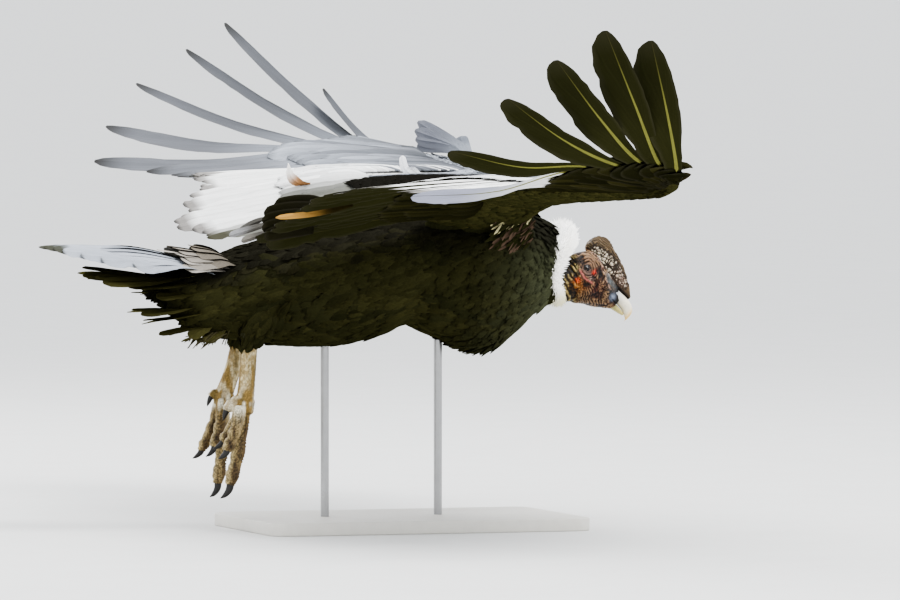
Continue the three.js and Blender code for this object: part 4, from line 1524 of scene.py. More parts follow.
    def lesser(self, mesh: FeatherMesh, upper: bool) -> None:
        """Adds the small feathers on the flesh.

        Args:
            mesh: The coat piece.
            upper: True for the upper side, False for the lower.
        """
        spec = CoatSpec(
            30, 52, (26, 24), 19, span=(0.12, 0.86) if upper else (0.16, 0.84), girth=(0.02, 0.98),
            seed=31 + self.sign + 4 * upper, lift=3.0, loose=0.14,
            atlas=(0.0, 0.75, 1.0, 1.0) if upper else (0.0, 0.35, 1.0, 0.48),
        )

        def surface(u: Array, v: Array) -> Array:
            """Chordwise rows: u runs back over the flesh, v out along the wing."""
            return arm_surface(v, (0.5 * u) if upper else (1.0 - 0.5 * u), self.sign, self.depth)

        def tints(u: Array, v: Array, luck: Array) -> tuple[Array, Array]:
            """Painted grey sheen above, umber below, dark towards the body and the leading edge.

            Args:
                u: Share of the way back over the flesh.
                v: Share of the way out.
                luck: A random number for each feather.

            Returns:
                Upper and under colours.
            """
            if not upper:
                tone = dye(Tone.UMBER.linear, Tone.SOOT.linear, luck)
                return tone, tone * 0.8
            # Painted sheen: the upper small coverts are black, shown grey and silver.
            tone = dye(Tone.GREY.linear, Tone.SILVER.linear, luck)
            tone = dye(tone, Tone.JET.linear, 1 - smooth(v, 0.3, 0.42))
            tone = dye(tone, Tone.JET.linear, (1 - smooth(u, 0.1, 0.3)) * 0.8)
            return tone, tone * 0.7

        def lie(roots: Array, _normal: Array) -> Array:
            """Back, and a little outward on the hand."""
            out = smooth(np.abs(roots[:, 1]), 330, 600)
            return np.stack([-np.ones(len(roots)), 0.5 * out * self.sign, 0 * out], axis=-1)

        coat(mesh, surface, spec, tints, lie, flip=(self.sign > 0) == upper)

    def build(self, finishes: Finishes) -> None:
        """Makes the wing's pieces.

        Args:
            finishes: The materials.
        """
        names = [f"wing_{self.side.label}_{part}" for part in ("inner", "forearm", "hand")]
        mesh = FeatherMesh()
        self.flight(mesh)
        dress(mesh.build(f"flight_feathers_{self.side.label}"), finishes.flight, "plumage_silver", *names)
        mesh = FeatherMesh()
        self.coverts(mesh)
        dress(mesh.build(f"coverts_{self.side.label}"), finishes.flight, "plumage_silver", *names)
        mesh = FeatherMesh()
        self.lesser(mesh, True)
        self.lesser(mesh, False)
        dress(mesh.build(f"coat_wing_{self.side.label}"), finishes.body, "plumage_dark", *names)

    def skin_part(self) -> Piece:
        """The wing's flesh, inside its coat.

        Returns:
            Its form.
        """
        u = np.linspace(0, 1, 30)[:, None]
        v = np.linspace(0, 1, 24, endpoint=False)[None]
        return loft(f"arm_form_{self.side.label}", arm_surface(u, v, self.sign, self.depth))


@dataclass
class Tail:
    """Fan of tail feathers with coverts above and long soft ones below."""

    count: int = 12
    shingle: float = math.radians(12)
    below: tuple[tuple[float, ...], ...] = (  # root x and z, tip x and z, spread, width, count of a row
        (-424, 38, -596, 43, 58, 38, 7), (-414, 29, -556, 34, 54, 38, 6), (-404, 18, -510, 18, 40, 26, 5),
        (-398, -4, -512, -14, 36, 30, 4), (-394, -12, -488, -24, 34, 28, 5),
        (-384, -26, -466, -47, 26, 24, 4), (-368, -36, -430, -52, 34, 24, 5),
    )
    above: tuple[tuple[float, ...], ...] = (  # tip x and z, spread, width, count of a row
        (-462, 83, 0.66, 38, 7), (-448, 84, 0.60, 36, 7), (-430, 84, 0.52, 34, 6),
    )
    tufts: int = 44

    @staticmethod
    def line(root: Sequence[float], tip: Sequence[float], lift: float) -> Path:
        """A gently bent shaft from root to tip."""
        root, tip = np.array(root, float), np.array(tip, float)
        return Path((root, mix(root, tip, 0.45) + (0, 0, lift), tip))

    @staticmethod
    def rectrix_tip(u: float) -> Array:
        """Tip of a tail feather from the right, -1, to the left, 1; the right ones are shorter.

        Args:
            u: Place in the fan.

        Returns:
            The tip's place.
        """
        if u > 0:
            return np.array((-655 + 26 * u * u, 112 * u, 88 - 4 * u * u))
        return np.array((-655 + 120 * abs(u) ** 2.2, 75 * u, 88 - 28 * u * u))

    @staticmethod
    def fan(count: float, shift: float = 0.0) -> list[float]:
        """Even places from the right, -1, to the left, 1."""
        return [2 * k / (count - 1) - 1 + shift for k in range(int(count))]

    @staticmethod
    def tier(
        mesh: FeatherMesh, paths: list[Path], width: float, tilt: float, rows: int,
        tints: Callable[[int], tuple[Array, Array]], level: float, rag: float = 0.06, camber: float = 0.06,
        flare: float = 0.0,
    ) -> None:
        """Adds one fan of feathers.

        Args:
            mesh: The coat piece.
            paths: Shafts from right to left.
            width: Full width.
            tilt: Turn that lays each over the next.
            rows: Rings of each.
            tints: Colours for each feather's number.
            level: Height of the tier on the bake map.
            rag: How deeply the edges are notched.
            camber: How far the edges bend down.
            flare: How much more they turn near the tip.
        """
        chance = np.random.default_rng(int(level * 1000) + 5)
        last = len(paths) - 1
        for k, path in enumerate(paths):
            before, after = paths[max(0, k - 1)], paths[min(last, k + 1)]
            grid = curved_vane(
                path, lambda t: unit(after.at(t) - before.at(t)), BLUNT, rows, width, 0.9,
                spin=lambda t: tilt * (1 + flare * smooth(t, 0.5, 0.95)), rag=ragged(chance, rows, rag),
                camber=camber,
            )
            top, low = tints(k)
            mesh.add(grid, BLUNT, np.array([[0.04 + 0.9 * k / (last + 1), level]]), top, low)

    def rectrices(self, mesh: FeatherMesh, chance: np.random.Generator) -> None:
        """Adds the fan of tail feathers.

        Args:
            mesh: The coat piece.
            chance: Source of the small differences.
        """
        paths = []
        for u in self.fan(self.count):
            root = (-398, 35 * u, 58 - 6 * u * u + 4 * u)
            tip = self.rectrix_tip(u) + chance.normal(0, (3, 0, 0))
            paths.append(self.line(root, tip, 6 + 9 * smooth(u, -0.7, 0.2)))
        rows = 24
        t = np.linspace(0, 1, rows)[None, :, None]
        # The upper sides' silver is painted sheen; the undersides are dark.
        top = mix(Tone.GREY.linear, Tone.SILVER.linear, 0.75)
        low = mix(Tone.SOOT.linear, Tone.BLACK.linear, t)

        def tints(k: int) -> tuple[Array, Array]:
            """Painted silver sheen over black, with a dark end, broadest on the middle ones."""
            end = smooth(t, 0.82, 0.9) * 0.9 if 3 < k < 9 else smooth(t, 0.965, 1.0) * 0.5
            return mix(top * (0.86 + 0.04 * (k % 5)), Tone.SOOT.linear, end), low

        self.tier(mesh, paths, 44, -self.shingle * 0.7, rows, tints, 0.1, rag=0.2, flare=-2.5)

    def coverts(self, mesh: FeatherMesh, chance: np.random.Generator) -> None:
        """Adds the rows of feathers over the tail's base, black feathers painted grey as sheen.

        Args:
            mesh: The coat piece.
            chance: Source of the small differences.
        """
        rows = 12
        t = np.linspace(0, 1, rows)[None, :, None]
        for row, (x, z, spread, width, count) in enumerate(self.above):
            paths = []
            for u in self.fan(count):
                end_x = x + 20 * u * u + chance.normal(0, 8)
                tip = (end_x, 92 * u * spread, z - 16 * u * u + 12 * u + 2 * row)
                paths.append(self.line((-378 + 9 * row, 34 * u, 58 - 6 * u * u + 4 * row), tip, 5))
            # Painted sheen: the black coverts are shown grey, palest in the first row and darker towards
            # their roots.
            grey = mix(srgb(0.30, 0.27, 0.22), srgb(0.62, 0.60, 0.57), 0.85 - 0.3 * row) * (0.75 + 0.4 * t)
            grey = mix(grey, Tone.SOOT.linear, 0.2 * smooth(t, 0.92, 1.0))
            low = mix(grey, mix(Tone.SOOT.linear, Tone.BLACK.linear, 0.4783 * t), 0.5)

            def tints(k: int) -> tuple[Array, Array]:
                """Painted grey sheen, a little different from one to the next."""
                return grey * (0.94 + 0.03 * (k % 4)), low

            self.tier(mesh, paths, width, -self.shingle * 0.7, rows, tints, 0.22 + 0.06 * row)

    def undertail(self, mesh: FeatherMesh, chance: np.random.Generator) -> None:
        """Adds the rows of long dark feathers below the tail's base.

        Args:
            mesh: The coat piece.
            chance: Source of the small differences.
        """
        rows = 14
        t = np.linspace(0, 1, rows)[None, :, None]
        dark = mix(Tone.UMBER.linear, Tone.BLACK.linear, 0.1) * (2.3 - 0.9 * t)

        def tints(k: int) -> tuple[Array, Array]:
            """Dark, a little different from one to the next."""
            return dark * (0.7 + 0.12 * (k % 4)), dark * (0.8 + 0.14 * (k % 3))

        for row, (root_x, root_z, x, z, spread, width, count) in enumerate(self.below):
            paths = []
            for u in self.fan(count, 0.02):
                end_x = x + chance.normal(0, 9) + 20 * u * u
                tip = (end_x, spread * u, z + 2 - 9 * u * u + chance.normal(0, 3))
                paths.append(self.line((root_x, 0.45 * spread * u, root_z + 4 * u * u), tip, -3))
            self.tier(
                mesh, paths, width, self.shingle * 0.5, rows, tints, 0.1 + 0.12 * row, rag=0.16,
                camber=-0.08,
            )

    def wisps(self, mesh: FeatherMesh) -> None:
        """Adds loose downy tufts behind the thighs.

        Args:
            mesh: The coat piece.
        """
        chance = np.random.default_rng(78)
        for _ in range(self.tufts):
            root = np.array((chance.uniform(-404, -372), chance.uniform(-50, 50), chance.uniform(-52, -38)))
            hang = (chance.uniform(-26, -6), chance.normal(0, 5), chance.uniform(-24, -10))
            tip = root + np.array(hang)
            path = Path((root, mix(root, tip, 0.5) + (0, 0, 1.5), tip))
            side = unit(np.array((chance.normal(), chance.normal() + 1.0, chance.normal() * 0.3)))
            grid = curved_vane(path, steady(side), LOCK, 5, 6.5, 0.7)
            tone = mix(Tone.UMBER.linear, srgb(0.42, 0.39, 0.33), 0.6 * chance.random())
            tints = np.tile(tone, (1, 5, 1))
            mesh.add(grid, LOCK, np.array([[0.5, 0.95]]), tints, tints)

    def build(self, finishes: Finishes) -> None:
        """Makes the tail's pieces.

        Args:
            finishes: The materials.
        """
        chance = np.random.default_rng(77)
        mesh = FeatherMesh()
        self.rectrices(mesh, chance)
        self.coverts(mesh, chance)
        dress(mesh.build("tail_feathers"), finishes.flight, "plumage_silver", "tail")
        mesh = FeatherMesh()
        self.undertail(mesh, chance)
        self.wisps(mesh)
        dress(mesh.build("undertail_feathers"), finishes.body, "plumage_dark", "tail")


@dataclass(frozen=True)
class Stray:
    """One feather that stands out of its row, by its line, outer edge, width and colours."""

    points: tuple[tuple[float, float, float], ...]
    side: tuple[float, float, float]
    width: float
    root: tuple[float, float, float]
    tip: tuple[float, float, float]
    pointed: bool = False


@dataclass
class Strays:
    """Feathers out of place, as the photograph has them, and both alulae."""

    upright: tuple[float, float, float] = (0.95, -0.3, 0.1)
    flank: tuple[float, float, float] = (0.1, -0.3, 0.95)
    apex: tuple[float, float, float] = (182.0, 515.0, 226.0)
    ruffled: int = 300

    def single(self) -> list[Stray]:
        """The single feathers.

        Returns:
            All of them, in a fixed order.
        """
        grey, pale = (0.60, 0.62, 0.65), (0.46, 0.47, 0.50)
        found = [
            Stray(((-250, -290, 157), (-300, -290, 146), (-373, -290, 139)), self.flank, 10,
                  (0.15, 0.13, 0.06), (0.70, 0.54, 0.30)),
            Stray(((-148, 262, 176), (-168, 262, 179), (-180, 262, 190), (-184, 262, 210)),
                  self.upright, 17, (0.70, 0.52, 0.36), (0.99, 0.98, 0.96), True),
            Stray(((58, 330, 186), (42, 330, 190), (31, 330, 200), (27, 330, 219)), self.upright, 13,
                  (0.97, 0.97, 0.97), (1.0, 1.0, 1.0)),
            Stray(((34, 330, 199), (44, 330, 197), (62, 330, 186)), self.upright, 12,
                  (0.97, 0.97, 0.97), (1.0, 1.0, 1.0), True),
        ]
        root = (200.0, 500.0, 198.0)
        for tip, width in (
            ((114, 520, 270), 22), ((110, 522, 256), 24), ((112, 525, 242), 26), ((116, 530, 230), 24),
        ):
            found.append(Stray((root, self.apex, tip), (0.45, -0.25, 0.85), width, grey, pale))
        steep = (root, (192, 520, 228), (188, 524, 246))
        found.append(Stray(steep, (0.9, -0.3, 0.3), 24, grey, (0.50, 0.52, 0.55)))
        for step, (length, width) in enumerate(((92, 26), (76, 24), (58, 22))):
            x, y = 206 - 8 * step, -(470 - 4 * step)
            middle, tip = (x - 3, y - length * 0.5, 204 + 3 * step), (x - 22, y - length, 210 + 2 * step)
            found.append(Stray(
                ((x, y, 192 + 3 * step), middle, tip), (0.98, -0.15, -0.1), width, (0.17, 0.15, 0.08),
                (0.20, 0.18, 0.10),
            ))
        for points, tone in (
            (((-303, -20, 122), (-332, -20, 114), (-366, -20, 105)), (0.72, 0.72, 0.73)),
            (((-300, -22, 109), (-324, -22, 103), (-347, -22, 96)), (0.62, 0.60, 0.57)),
            (((-306, -16, 131), (-329, -16, 122), (-349, -16, 111)), (0.55, 0.54, 0.52)),
        ):
            found.append(Stray(points, (0.1, -0.55, 0.8), 15, (0.45, 0.44, 0.42), tone))
        for points in (
            ((-273, -205, 162), (-308, -205, 160), (-350, -205, 155)),
            ((-273, -205, 151), (-315, -205, 150), (-366, -205, 144)),
            ((-273, -205, 140), (-315, -205, 139), (-369, -205, 133)),
            ((-279, -205, 128), (-324, -205, 127), (-369, -205, 121)),
            ((-286, -205, 117), (-324, -205, 116), (-366, -205, 109)),
        ):
            found.append(Stray(points, (0.08, -0.45, 0.88), 27, (0.12, 0.115, 0.08), (0.135, 0.13, 0.085)))
        return found

    def patch(self, mesh: FeatherMesh) -> None:
        """Adds the ruffled pale feathers before the near shoulder.

        Args:
            mesh: The piece that takes them.
        """
        chance = np.random.default_rng(55)
        for _ in range(self.ruffled):
            level = chance.random()
            root = np.array((mix(42, 104, chance.random() ** 0.8), 0.0, mix(92, 150, level)))
            root[1] = -(102 + 18 * level + chance.uniform(-3, 5)) - 0.12 * (70 - root[0])
            hang = (chance.uniform(-26, -10), chance.uniform(-6, 1), chance.uniform(-22, -6))
            tip = root + np.array(hang)
            path = Path((root, mix(root, tip, 0.5) + (0, -2.5, 0), tip))
            side = unit(np.array((chance.normal() * 0.4, -0.3, 1.0)))
            shade = chance.random()
            wisp = abs(root[2] - 138 - 0.4 * (root[0] - 75)) < 9
            tone = srgb(0.38, 0.31, 0.26) if shade < 0.4 else Tone.SOOT.linear
            if wisp and shade < 0.6:
                tone = srgb(0.80, 0.77, 0.60)
            tints = tone * np.linspace(0.5, 1.1, 6)[None, :, None]
            grid = curved_vane(path, steady(side), COVERT, 6, chance.uniform(3.0, 6.5), 0.7)
            mesh.add(grid, COVERT, np.array([[0.3, 0.3 + 0.3 * level]]), tints, tints)

    def build(self, finishes: Finishes) -> None:
        """Makes one piece of them all.

        Args:
            finishes: The materials.
        """
        mesh = FeatherMesh()
        rows = 12
        t = np.linspace(0, 1, rows)[None, :, None]
        for number, stray in enumerate(self.single()):
            shape = POINTED if stray.pointed else BLUNT
            side = steady(np.array(stray.side))
            grid = curved_vane(Path(stray.points), side, shape, rows, stray.width, 0.8)
            tints = mix(srgb(*stray.root), srgb(*stray.tip), smooth(t, 0.3, 0.75))
            mesh.add(grid, shape, np.array([[0.05 + 0.07 * number, 0.9]]), tints, tints)
        self.patch(mesh)
        nodes = ("wing_left_hand", "wing_right_hand")
        dress(mesh.build("stray_feathers"), finishes.flight, "plumage_silver", *nodes)


@dataclass
class Ruff:
    """White downy collar: fine soft locks in close rows round the neck."""

    centre: tuple[float, float, float] = (181.0, 0.0, 44.0)
    rows: int = 30
    around: int = 124
    rings: int = 5

    def extent(self, a: Array) -> tuple[Array, Array, Array]:
        """Reach of the collar at an angle round the neck.

        Args:
            a: Angle, a quarter turn at the nape.

        Returns:
            Its outer radius, its half thickness along the neck and the x of its middle.
        """
        c, s = np.cos(a), np.sin(a)
        outer = 49 + 35 * smooth(s, -0.9, 0.9) + 9 * c**2 + 6 * smooth(-s, 0.6, 0.95)
        middle = 150 + (35 - 4 * (1 - s)) * np.abs(s) ** 1.7
        return outer, 15 + 6 * smooth(s, 0.0, 0.9), middle

    def build(self, finishes: Finishes) -> None:
        """Makes the collar.

        Args:
            finishes: The materials.
        """
        chance = np.random.default_rng(7)
        mesh = FeatherMesh()
        i, j = np.meshgrid(np.arange(self.rows), np.arange(self.around), indexing="ij")
        i, j = i.ravel(), j.ravel()
        number = i.size
        across = (i + chance.uniform(0.1, 0.9, number)) / self.rows * 2 - 1
        a = (j + 0.5 * (i % 2) + chance.uniform(-0.3, 0.3, number)) / self.around * 2 * np.pi
        outer, half, middle = self.extent(a)
        inner = 34 + 0.42 * (outer - 34)
        out = np.stack([0 * a, np.cos(a), np.sin(a)], axis=-1)
        lean = across * np.where(across < 0, 1.05, 0.75)
        root = np.array(self.centre) + out * (inner * np.cos(lean))[:, None]
        root[:, 0] = middle + half * 0.62 * across
        spread = 0.84 + 0.34 * chance.random(number) ** 2 * (1.3 - 0.5 * np.sin(a))
        reach = (outer - inner) * spread * (0.45 + 0.55 * np.cos(across * 1.4))
        along_neck = np.array((1.0, 0, 0))
        forward = out * np.cos(lean)[:, None] + along_neck * np.sin(lean)[:, None]
        forward = unit(forward + chance.normal(0, 0.07, (number, 3)) + np.array((0.0, 0, -0.12)))
        askew = unit(np.cross(forward, out + np.array((0.4, 0.1, 0.2))))
        side = unit(np.cross(out, along_neck)) + 0.3 * askew
        side = unit(side - forward * np.sum(side * forward, axis=-1, keepdims=True))
        normal = np.cross(side, forward)
        t, width = LOCK.rows(self.rings)
        section = np.array(LOCK.section)
        bend = chance.normal(0, 0.14, number)[:, None] * t[None] ** 2
        centre = root[:, None] + forward[:, None] * (reach[:, None] * t[None])[..., None]
        centre = centre + normal[:, None] * (reach[:, None] * bend)[..., None]
        wide = (2.0 + 1.4 * chance.random(number))[:, None] * width[None]
        grid = centre[:, :, None] + side[:, None, None] * (wide[..., None] * section[:, 0])[..., None]
        grid = grid + normal[:, None, None] * (0.9 * width[None, :, None] * section[:, 1])[..., None]
        low = 1 - smooth(np.sin(a), -0.95, -0.45)
        tone = dye(Tone.DOWN.linear, Tone.CREAM.linear, low * 0.9)
        tone = tone * (0.93 + 0.07 * chance.random(number))[:, None]
        place = np.stack([0.01 + 0.98 * (a / (2 * np.pi) % 1.0), 0.02 + 0.96 * (across + 1) / 2], axis=-1)
        tints = np.repeat(tone[:, None], self.rings, 1)
        mesh.add(grid, LOCK, place, tints, tints)
        dress(mesh.build("ruff_down"), finishes.down, "down_white", "ruff")
        self.core(finishes)

    def core(self, finishes: Finishes) -> None:
        """Makes the dense down under the locks.

        Args:
            finishes: The materials.
        """
        a, b = turn(64)[None], turn(24)[:, None]
        outer, half, middle = self.extent(a)
        radius = (24 + outer) / 2 + (outer - 36) / 2 * np.cos(b)
        x = middle + half * 0.84 * np.sin(b)
        rings = np.broadcast_arrays(x, radius * np.cos(a), self.centre[2] + radius * np.sin(a))
        rings = np.stack(rings, axis=-1)
        rows, ring, _ = rings.shape
        r, k = np.meshgrid(np.arange(rows), np.arange(ring), indexing="ij")
        first, second, following = r * ring, (r + 1) % rows * ring, (k + 1) % ring
        quads = np.stack([first + k, first + following, second + following, second + k], axis=-1)
        obj = mesh_object("ruff_core", rings.reshape(-1, 3), (quads.reshape(-1, 4),))
        outward(obj)
        paint(obj, np.tile(Tone.DOWN.linear, (len(obj.data.vertices), 1)))
        dress(obj, finishes.under, "down_white", "ruff")


def outward(obj: Piece) -> None:
    """Turns a closed mesh's faces outwards.

    Args:
        obj: The object.
    """
    select_only(obj)
    bpy.ops.object.mode_set(mode="EDIT")
    bpy.ops.mesh.select_all(action="SELECT")
    bpy.ops.mesh.normals_make_consistent(inside=False)
    bpy.ops.object.mode_set(mode="OBJECT")


@dataclass
class Head:
    """Bare head and neck with its comb, folds, lids, bill and eyes."""

    voxel: float = 0.00095
    sunk: float = 1.7  # how much deeper than their solids the eyes lie, as folds and lids rise round them

    @staticmethod
    def ovals(stations: Sequence[Sequence[float]], count: int = 40) -> Array:
        """Rings of the neck and head through their stations.

        Args:
            stations: Rows of x, z, pitch, reach up, reach down and half width.
            count: Corners in a ring.

        Returns:
            The rings.
        """
        path = Path(stations)
        t = np.linspace(0, 1, 60)[:, None]
        x, z, pitch, up, down, half = np.moveaxis(path.at(t), -1, 0)
        angle = np.radians(pitch)
        c, s = np.cos(turn(count))[None], np.sin(turn(count))[None]
        rise = s * np.where(s > 0, up, down)
        places = (x + rise * np.sin(angle), c * half, z + rise * np.cos(angle))
        return np.stack(np.broadcast_arrays(*places), axis=-1)

    @staticmethod
    def ridge(stations: Sequence[Sequence[float]], count: int = 32, power: float = 1.0) -> Array:
        """Rings of a form that runs along the face.

        Args:
            stations: Rows of f, lower u, upper u and half width.
            count: Corners in a ring.
            power: Roundness of the section.

        Returns:
            The rings.
        """
        t = np.linspace(0, 1, 56)[:, None]
        f, low, high, half = np.moveaxis(Path(stations).at(t), -1, 0)
        c, s = np.cos(turn(count))[None], np.sin(turn(count))[None]
        y = np.sign(c) * np.abs(c) ** power * half
        u = (low + high) / 2 + np.sign(s) * np.abs(s) ** power * ((high - low) / 2)
        return face_point(f, y, u)

    @staticmethod
    def opening(f: Array, u: Array) -> Array:
        """Distance from the eye's middle in the shape of the lids, pointed at both corners.

        Args:
            f: Distances forward from the eye.
            u: Distances up from the eye line.

        Returns:
            A distance for each place.
        """
        forward, up = f - EYE[0], u - EYE[2]
        along, over = 0.72 * forward - 0.69 * up, 0.69 * forward + 0.72 * up
        return np.hypot(along * 0.98, over * 1.45)

    @staticmethod
    def fringe(f: Array) -> Array:
        """Height of the seam between the face and the comb with the nose."""
        return 28.0 - 20.0 * smooth(f, 0, 46)

    def nose(self, f: Array, u: Array) -> Array:
        """Share of the smooth bare nose between the face and the comb."""
        return bell(f, 45, 17.0, 4) * bell(u, 18.0, 6.6, 4) * smooth(u - self.fringe(f), 0.5, 3.0)

    def comb(self, f: Array, u: Array, soft: float) -> Array:
        """Share of the comb, over a soft lower edge of so many millimetres."""
        return smooth(u - np.maximum(self.fringe(f) + 1.5, 24.0), 0.0, soft) * smooth(f, -26, -18)

    def relief(self, points: Array) -> tuple[Array, Array, Array]:
        """Height of folds, warts and lids over the plain head.

        Args:
            points: Places on the plain head.

        Returns:
            Height, ridge share for the colours, and wart share.
        """
        f, y, u = face_axes(points)
        eye = np.hypot(f - EYE[0], (u - EYE[2]) * 1.1)
        slit = self.opening(f, u)
        beside = smooth(np.abs(y), 8, 17)
        comb = self.comb(f, u, 3.5)
        warp, fine, swirl = (noise(points, size, seed) for size, seed in ((13.0, 3), (5.0, 4), (24.0, 5)))
        plumb = points[:, 0] + 0.35 * (points[:, 2] - SKULL[1])
        arcs = np.hypot(f - 24, (u + 4) * 0.9)
        low = smooth(eye, 17, 27) * smooth(-u, -2, 12)
        rear = smooth(207 - points[:, 0], 0, 9)
        phase = mix(eye / 4.9, mix(arcs / 4.6, plumb / 4.0, smooth(f, 2, 20)), low)
        phase = mix(phase, (0.97 * u + 0.2 * f) / 6.6, rear)
        phase = phase + (1 - 0.6 * rear) * (0.75 * warp + 0.32 * fine + 0.5 * swirl)
        fold = np.abs(np.sin(np.pi * phase)) ** 0.75
        breaks = smooth(noise(points * (1.0, 1.0, 0.6), 7.0, 41), -0.55, 0.1)
        fold = fold * (0.35 + 0.65 * breaks) + 0.28 * noise(points, 2.6, 6)
        fold = mix(fold, 0.62 + 0.2 * fine, 0.75 * (1 - smooth(eye, 7, 12)))
        bare = (1 - comb) * (1 - smooth(f, 56, 66) * (1 - smooth(-u, -4, 6)))
        height = (fold - 0.5) * (2.5 + 0.8 * rear) * bare * (0.4 + 0.6 * beside)
        brow = bell(f, -4, 13.0) * bell(u, 15, 7.0)
        height += 1.9 * brow * bare * beside
        fringe = bell(u, self.fringe(f), 1.5) * smooth(f, -12, -2) * (1 - smooth(f, 52, 62))
        height += 1.6 * fringe * (0.6 + 0.4 * np.abs(np.sin(f * 1.1)))
        nose = self.nose(f, u)
        height = height * (1 - 0.8 * nose) - 1.2 * nose
        large_bead = pebbles(points * (1.0, 0.5, 1.0) + 1.2 * np.stack([warp, fine, swirl], -1), 6.1, 9)
        small_bead = pebbles(points + 0.8 * np.stack([fine, warp, fine], -1), 4.1, 12)
        band = bell(u - 2.0 * np.cos((f - 28) / 20.0), 36.0, 6.5 + 5.5 * bell(f, 26, 26.0), 4)
        band = band * smooth(f, -16, -6) * (1 - smooth(f, 66, 78)) * comb
        large = bell(f, 29, 19.0, 4) * smooth(-u, -47, -41)
        bead = np.maximum(large_bead * smooth(large, 0.4, 0.6), small_bead * smooth(-large, -0.6, -0.4))
        wart = bead * band
        waves = (u + 0.006 * (f - 24) ** 2) / 3.6 + 1.1 * warp + 0.7 * fine + 0.5 * swirl
        streaks = np.abs(np.sin(np.pi * waves))
        plain_comb = (1 - band) * (1.3 * streaks + 0.6 * fine)
        height += comb * (3.6 * wart * (0.6 + 0.4 * large) + plain_comb - 1.2)
        height += 1.4 * bell(slit, 4.0, 1.2) * beside
        height -= 7.0 * (1 - smooth(slit, 1.8, 3.2)) * beside
        nostril = np.hypot((f - 68) / 5.0, (u - 14.5 - 0.12 * (f - 68)) / 2.0)
        height -= 2.4 * (1 - smooth(nostril, 0.5, 1.15)) * smooth(np.abs(y), 4, 8)
        mouth = np.abs(u - (0.6 - 0.11 * np.maximum(66 - f, 0)))
        height -= 2.2 * (1 - smooth(mouth, 0.3, 1.5)) * smooth(f, 34, 42) * beside
        shade = np.clip(fold * bare + comb * (1 - band) * streaks + 0.4 * brow * bare, 0, 1)
        return height, shade, wart

    def colour(self, points: Array, ridge: Array, wart: Array) -> Array:
        """Colours of the bare skin.

        Args:
            points: Places on the head.
            ridge: How far each lies on a fold; the furrows between the folds get painted shade.
            wart: How far each lies on a wart.

        Returns:
            The colours.
        """
        f, _, u = face_axes(points)

        def spot(at_f: float, at_u: float, reach_f: float, reach_u: float) -> Array:
            """Soft patch round a place on the face."""
            return bell(f, at_f, reach_f) * bell(u, at_u, reach_u)

        blotch, fine = (noise(points, size, seed) * 0.5 + 0.5 for size, seed in ((8.0, 21), (3.0, 22)))
        behind = smooth(208 - points[:, 0], 0, 9)
        base = dye(srgb(0.18, 0.125, 0.085), srgb(0.29, 0.19, 0.135), blotch)
        base = dye(base, srgb(0.20, 0.16, 0.08), behind)
        pale = dye(srgb(0.62, 0.50, 0.37), srgb(0.63, 0.56, 0.37), behind)
        near_eye = bell(np.hypot(f - EYE[0], u - EYE[2] - 4), 0.0, 19.0, 4) * (1 - behind)
        base = dye(base, srgb(0.20, 0.14, 0.10), near_eye * 0.8)
        pale = dye(pale, srgb(0.47, 0.36, 0.28), near_eye * 0.85)
        for *place, stain, share in FACE_STAINS:
            patch = spot(*place) * share
            base = dye(base, srgb(*stain), patch)
            pale = dye(pale, srgb(*stain) * 1.35, patch * 0.6)
        # Painted shade: the furrows between the folds darken to 8 per cent of the skin's colour.
        out = dye(base * 0.08, base, smooth(ridge, 0.16, 0.56))
        out = dye(out, pale, smooth(ridge, 0.66, 0.97) * 0.8)
        crease = bell(u, -10.5 - 1.5 * np.sin(f / 5.0), 1.4) * smooth(f, -10, -4) * (1 - smooth(f, 18, 26))
        out = dye(out, srgb(0.80, 0.46, 0.42), 0.7 * crease)
        out = dye(out, dye(srgb(0.14, 0.145, 0.14), srgb(0.36, 0.38, 0.39), fine), self.nose(f, u) * 0.95)
        # These patches include the painted highlight on the nose.
        for *place, stain, share in NOSE_STAINS_AND_HIGHLIGHT:
            out = dye(out, srgb(*stain), spot(*place) * share)
        fringe = bell(u, self.fringe(f), 1.4) * smooth(f, -14, -4) * (1 - smooth(f, 50, 60))
        out = dye(out, srgb(0.76, 0.62, 0.55), fringe * 0.6 * smooth(fine, 0.3, 0.6))
        comb = self.comb(f, u, 3.0)
        line = smooth(ridge, 0.6, 1.0) * (0.3 + 0.7 * blotch)
        crest = dye(srgb(0.19, 0.15, 0.10), srgb(0.50, 0.42, 0.31), line)
        crest = dye(crest, srgb(0.50, 0.40, 0.34), spot(60, 30, 16, 9) * 0.35)
        out = dye(out, crest, comb)
        cream = dye(srgb(0.86, 0.80, 0.71), srgb(0.74, 0.60, 0.54), smooth(f, 34, 60) * blotch)
        cream = cream * (0.55 + 0.4 * fine)[:, None]
        out = dye(out, srgb(0.12, 0.09, 0.07), smooth(wart, 0.01, 0.07) * comb * 0.8)
        out = dye(out, cream, smooth(wart, 0.28, 0.56) * 0.92)
        return dye(out, srgb(0.33, 0.27, 0.24), bell(self.opening(f, u), 5.2, 2.6) * 0.8)

    def skin_part(self) -> Piece:
        """The head, neck and comb as one finely modelled form with its colours.

        Returns:
            The painted form.
        """
        forms = [loft("head_form", self.ovals(NECK_STATIONS)), loft("comb_form", self.ridge(COMB_STATIONS))]
        obj = fuse("head_skin_form", forms, self.voxel, 8)
        points, normals = corners(obj)
        height, ridge, wart = self.relief(points)
        fade = smooth(points[:, 0], 178, 196)
        moved = points + normals * (height * fade)[:, None]
        move_corners(obj, moved)
        paint(obj, self.colour(points, ridge, wart))
        return obj

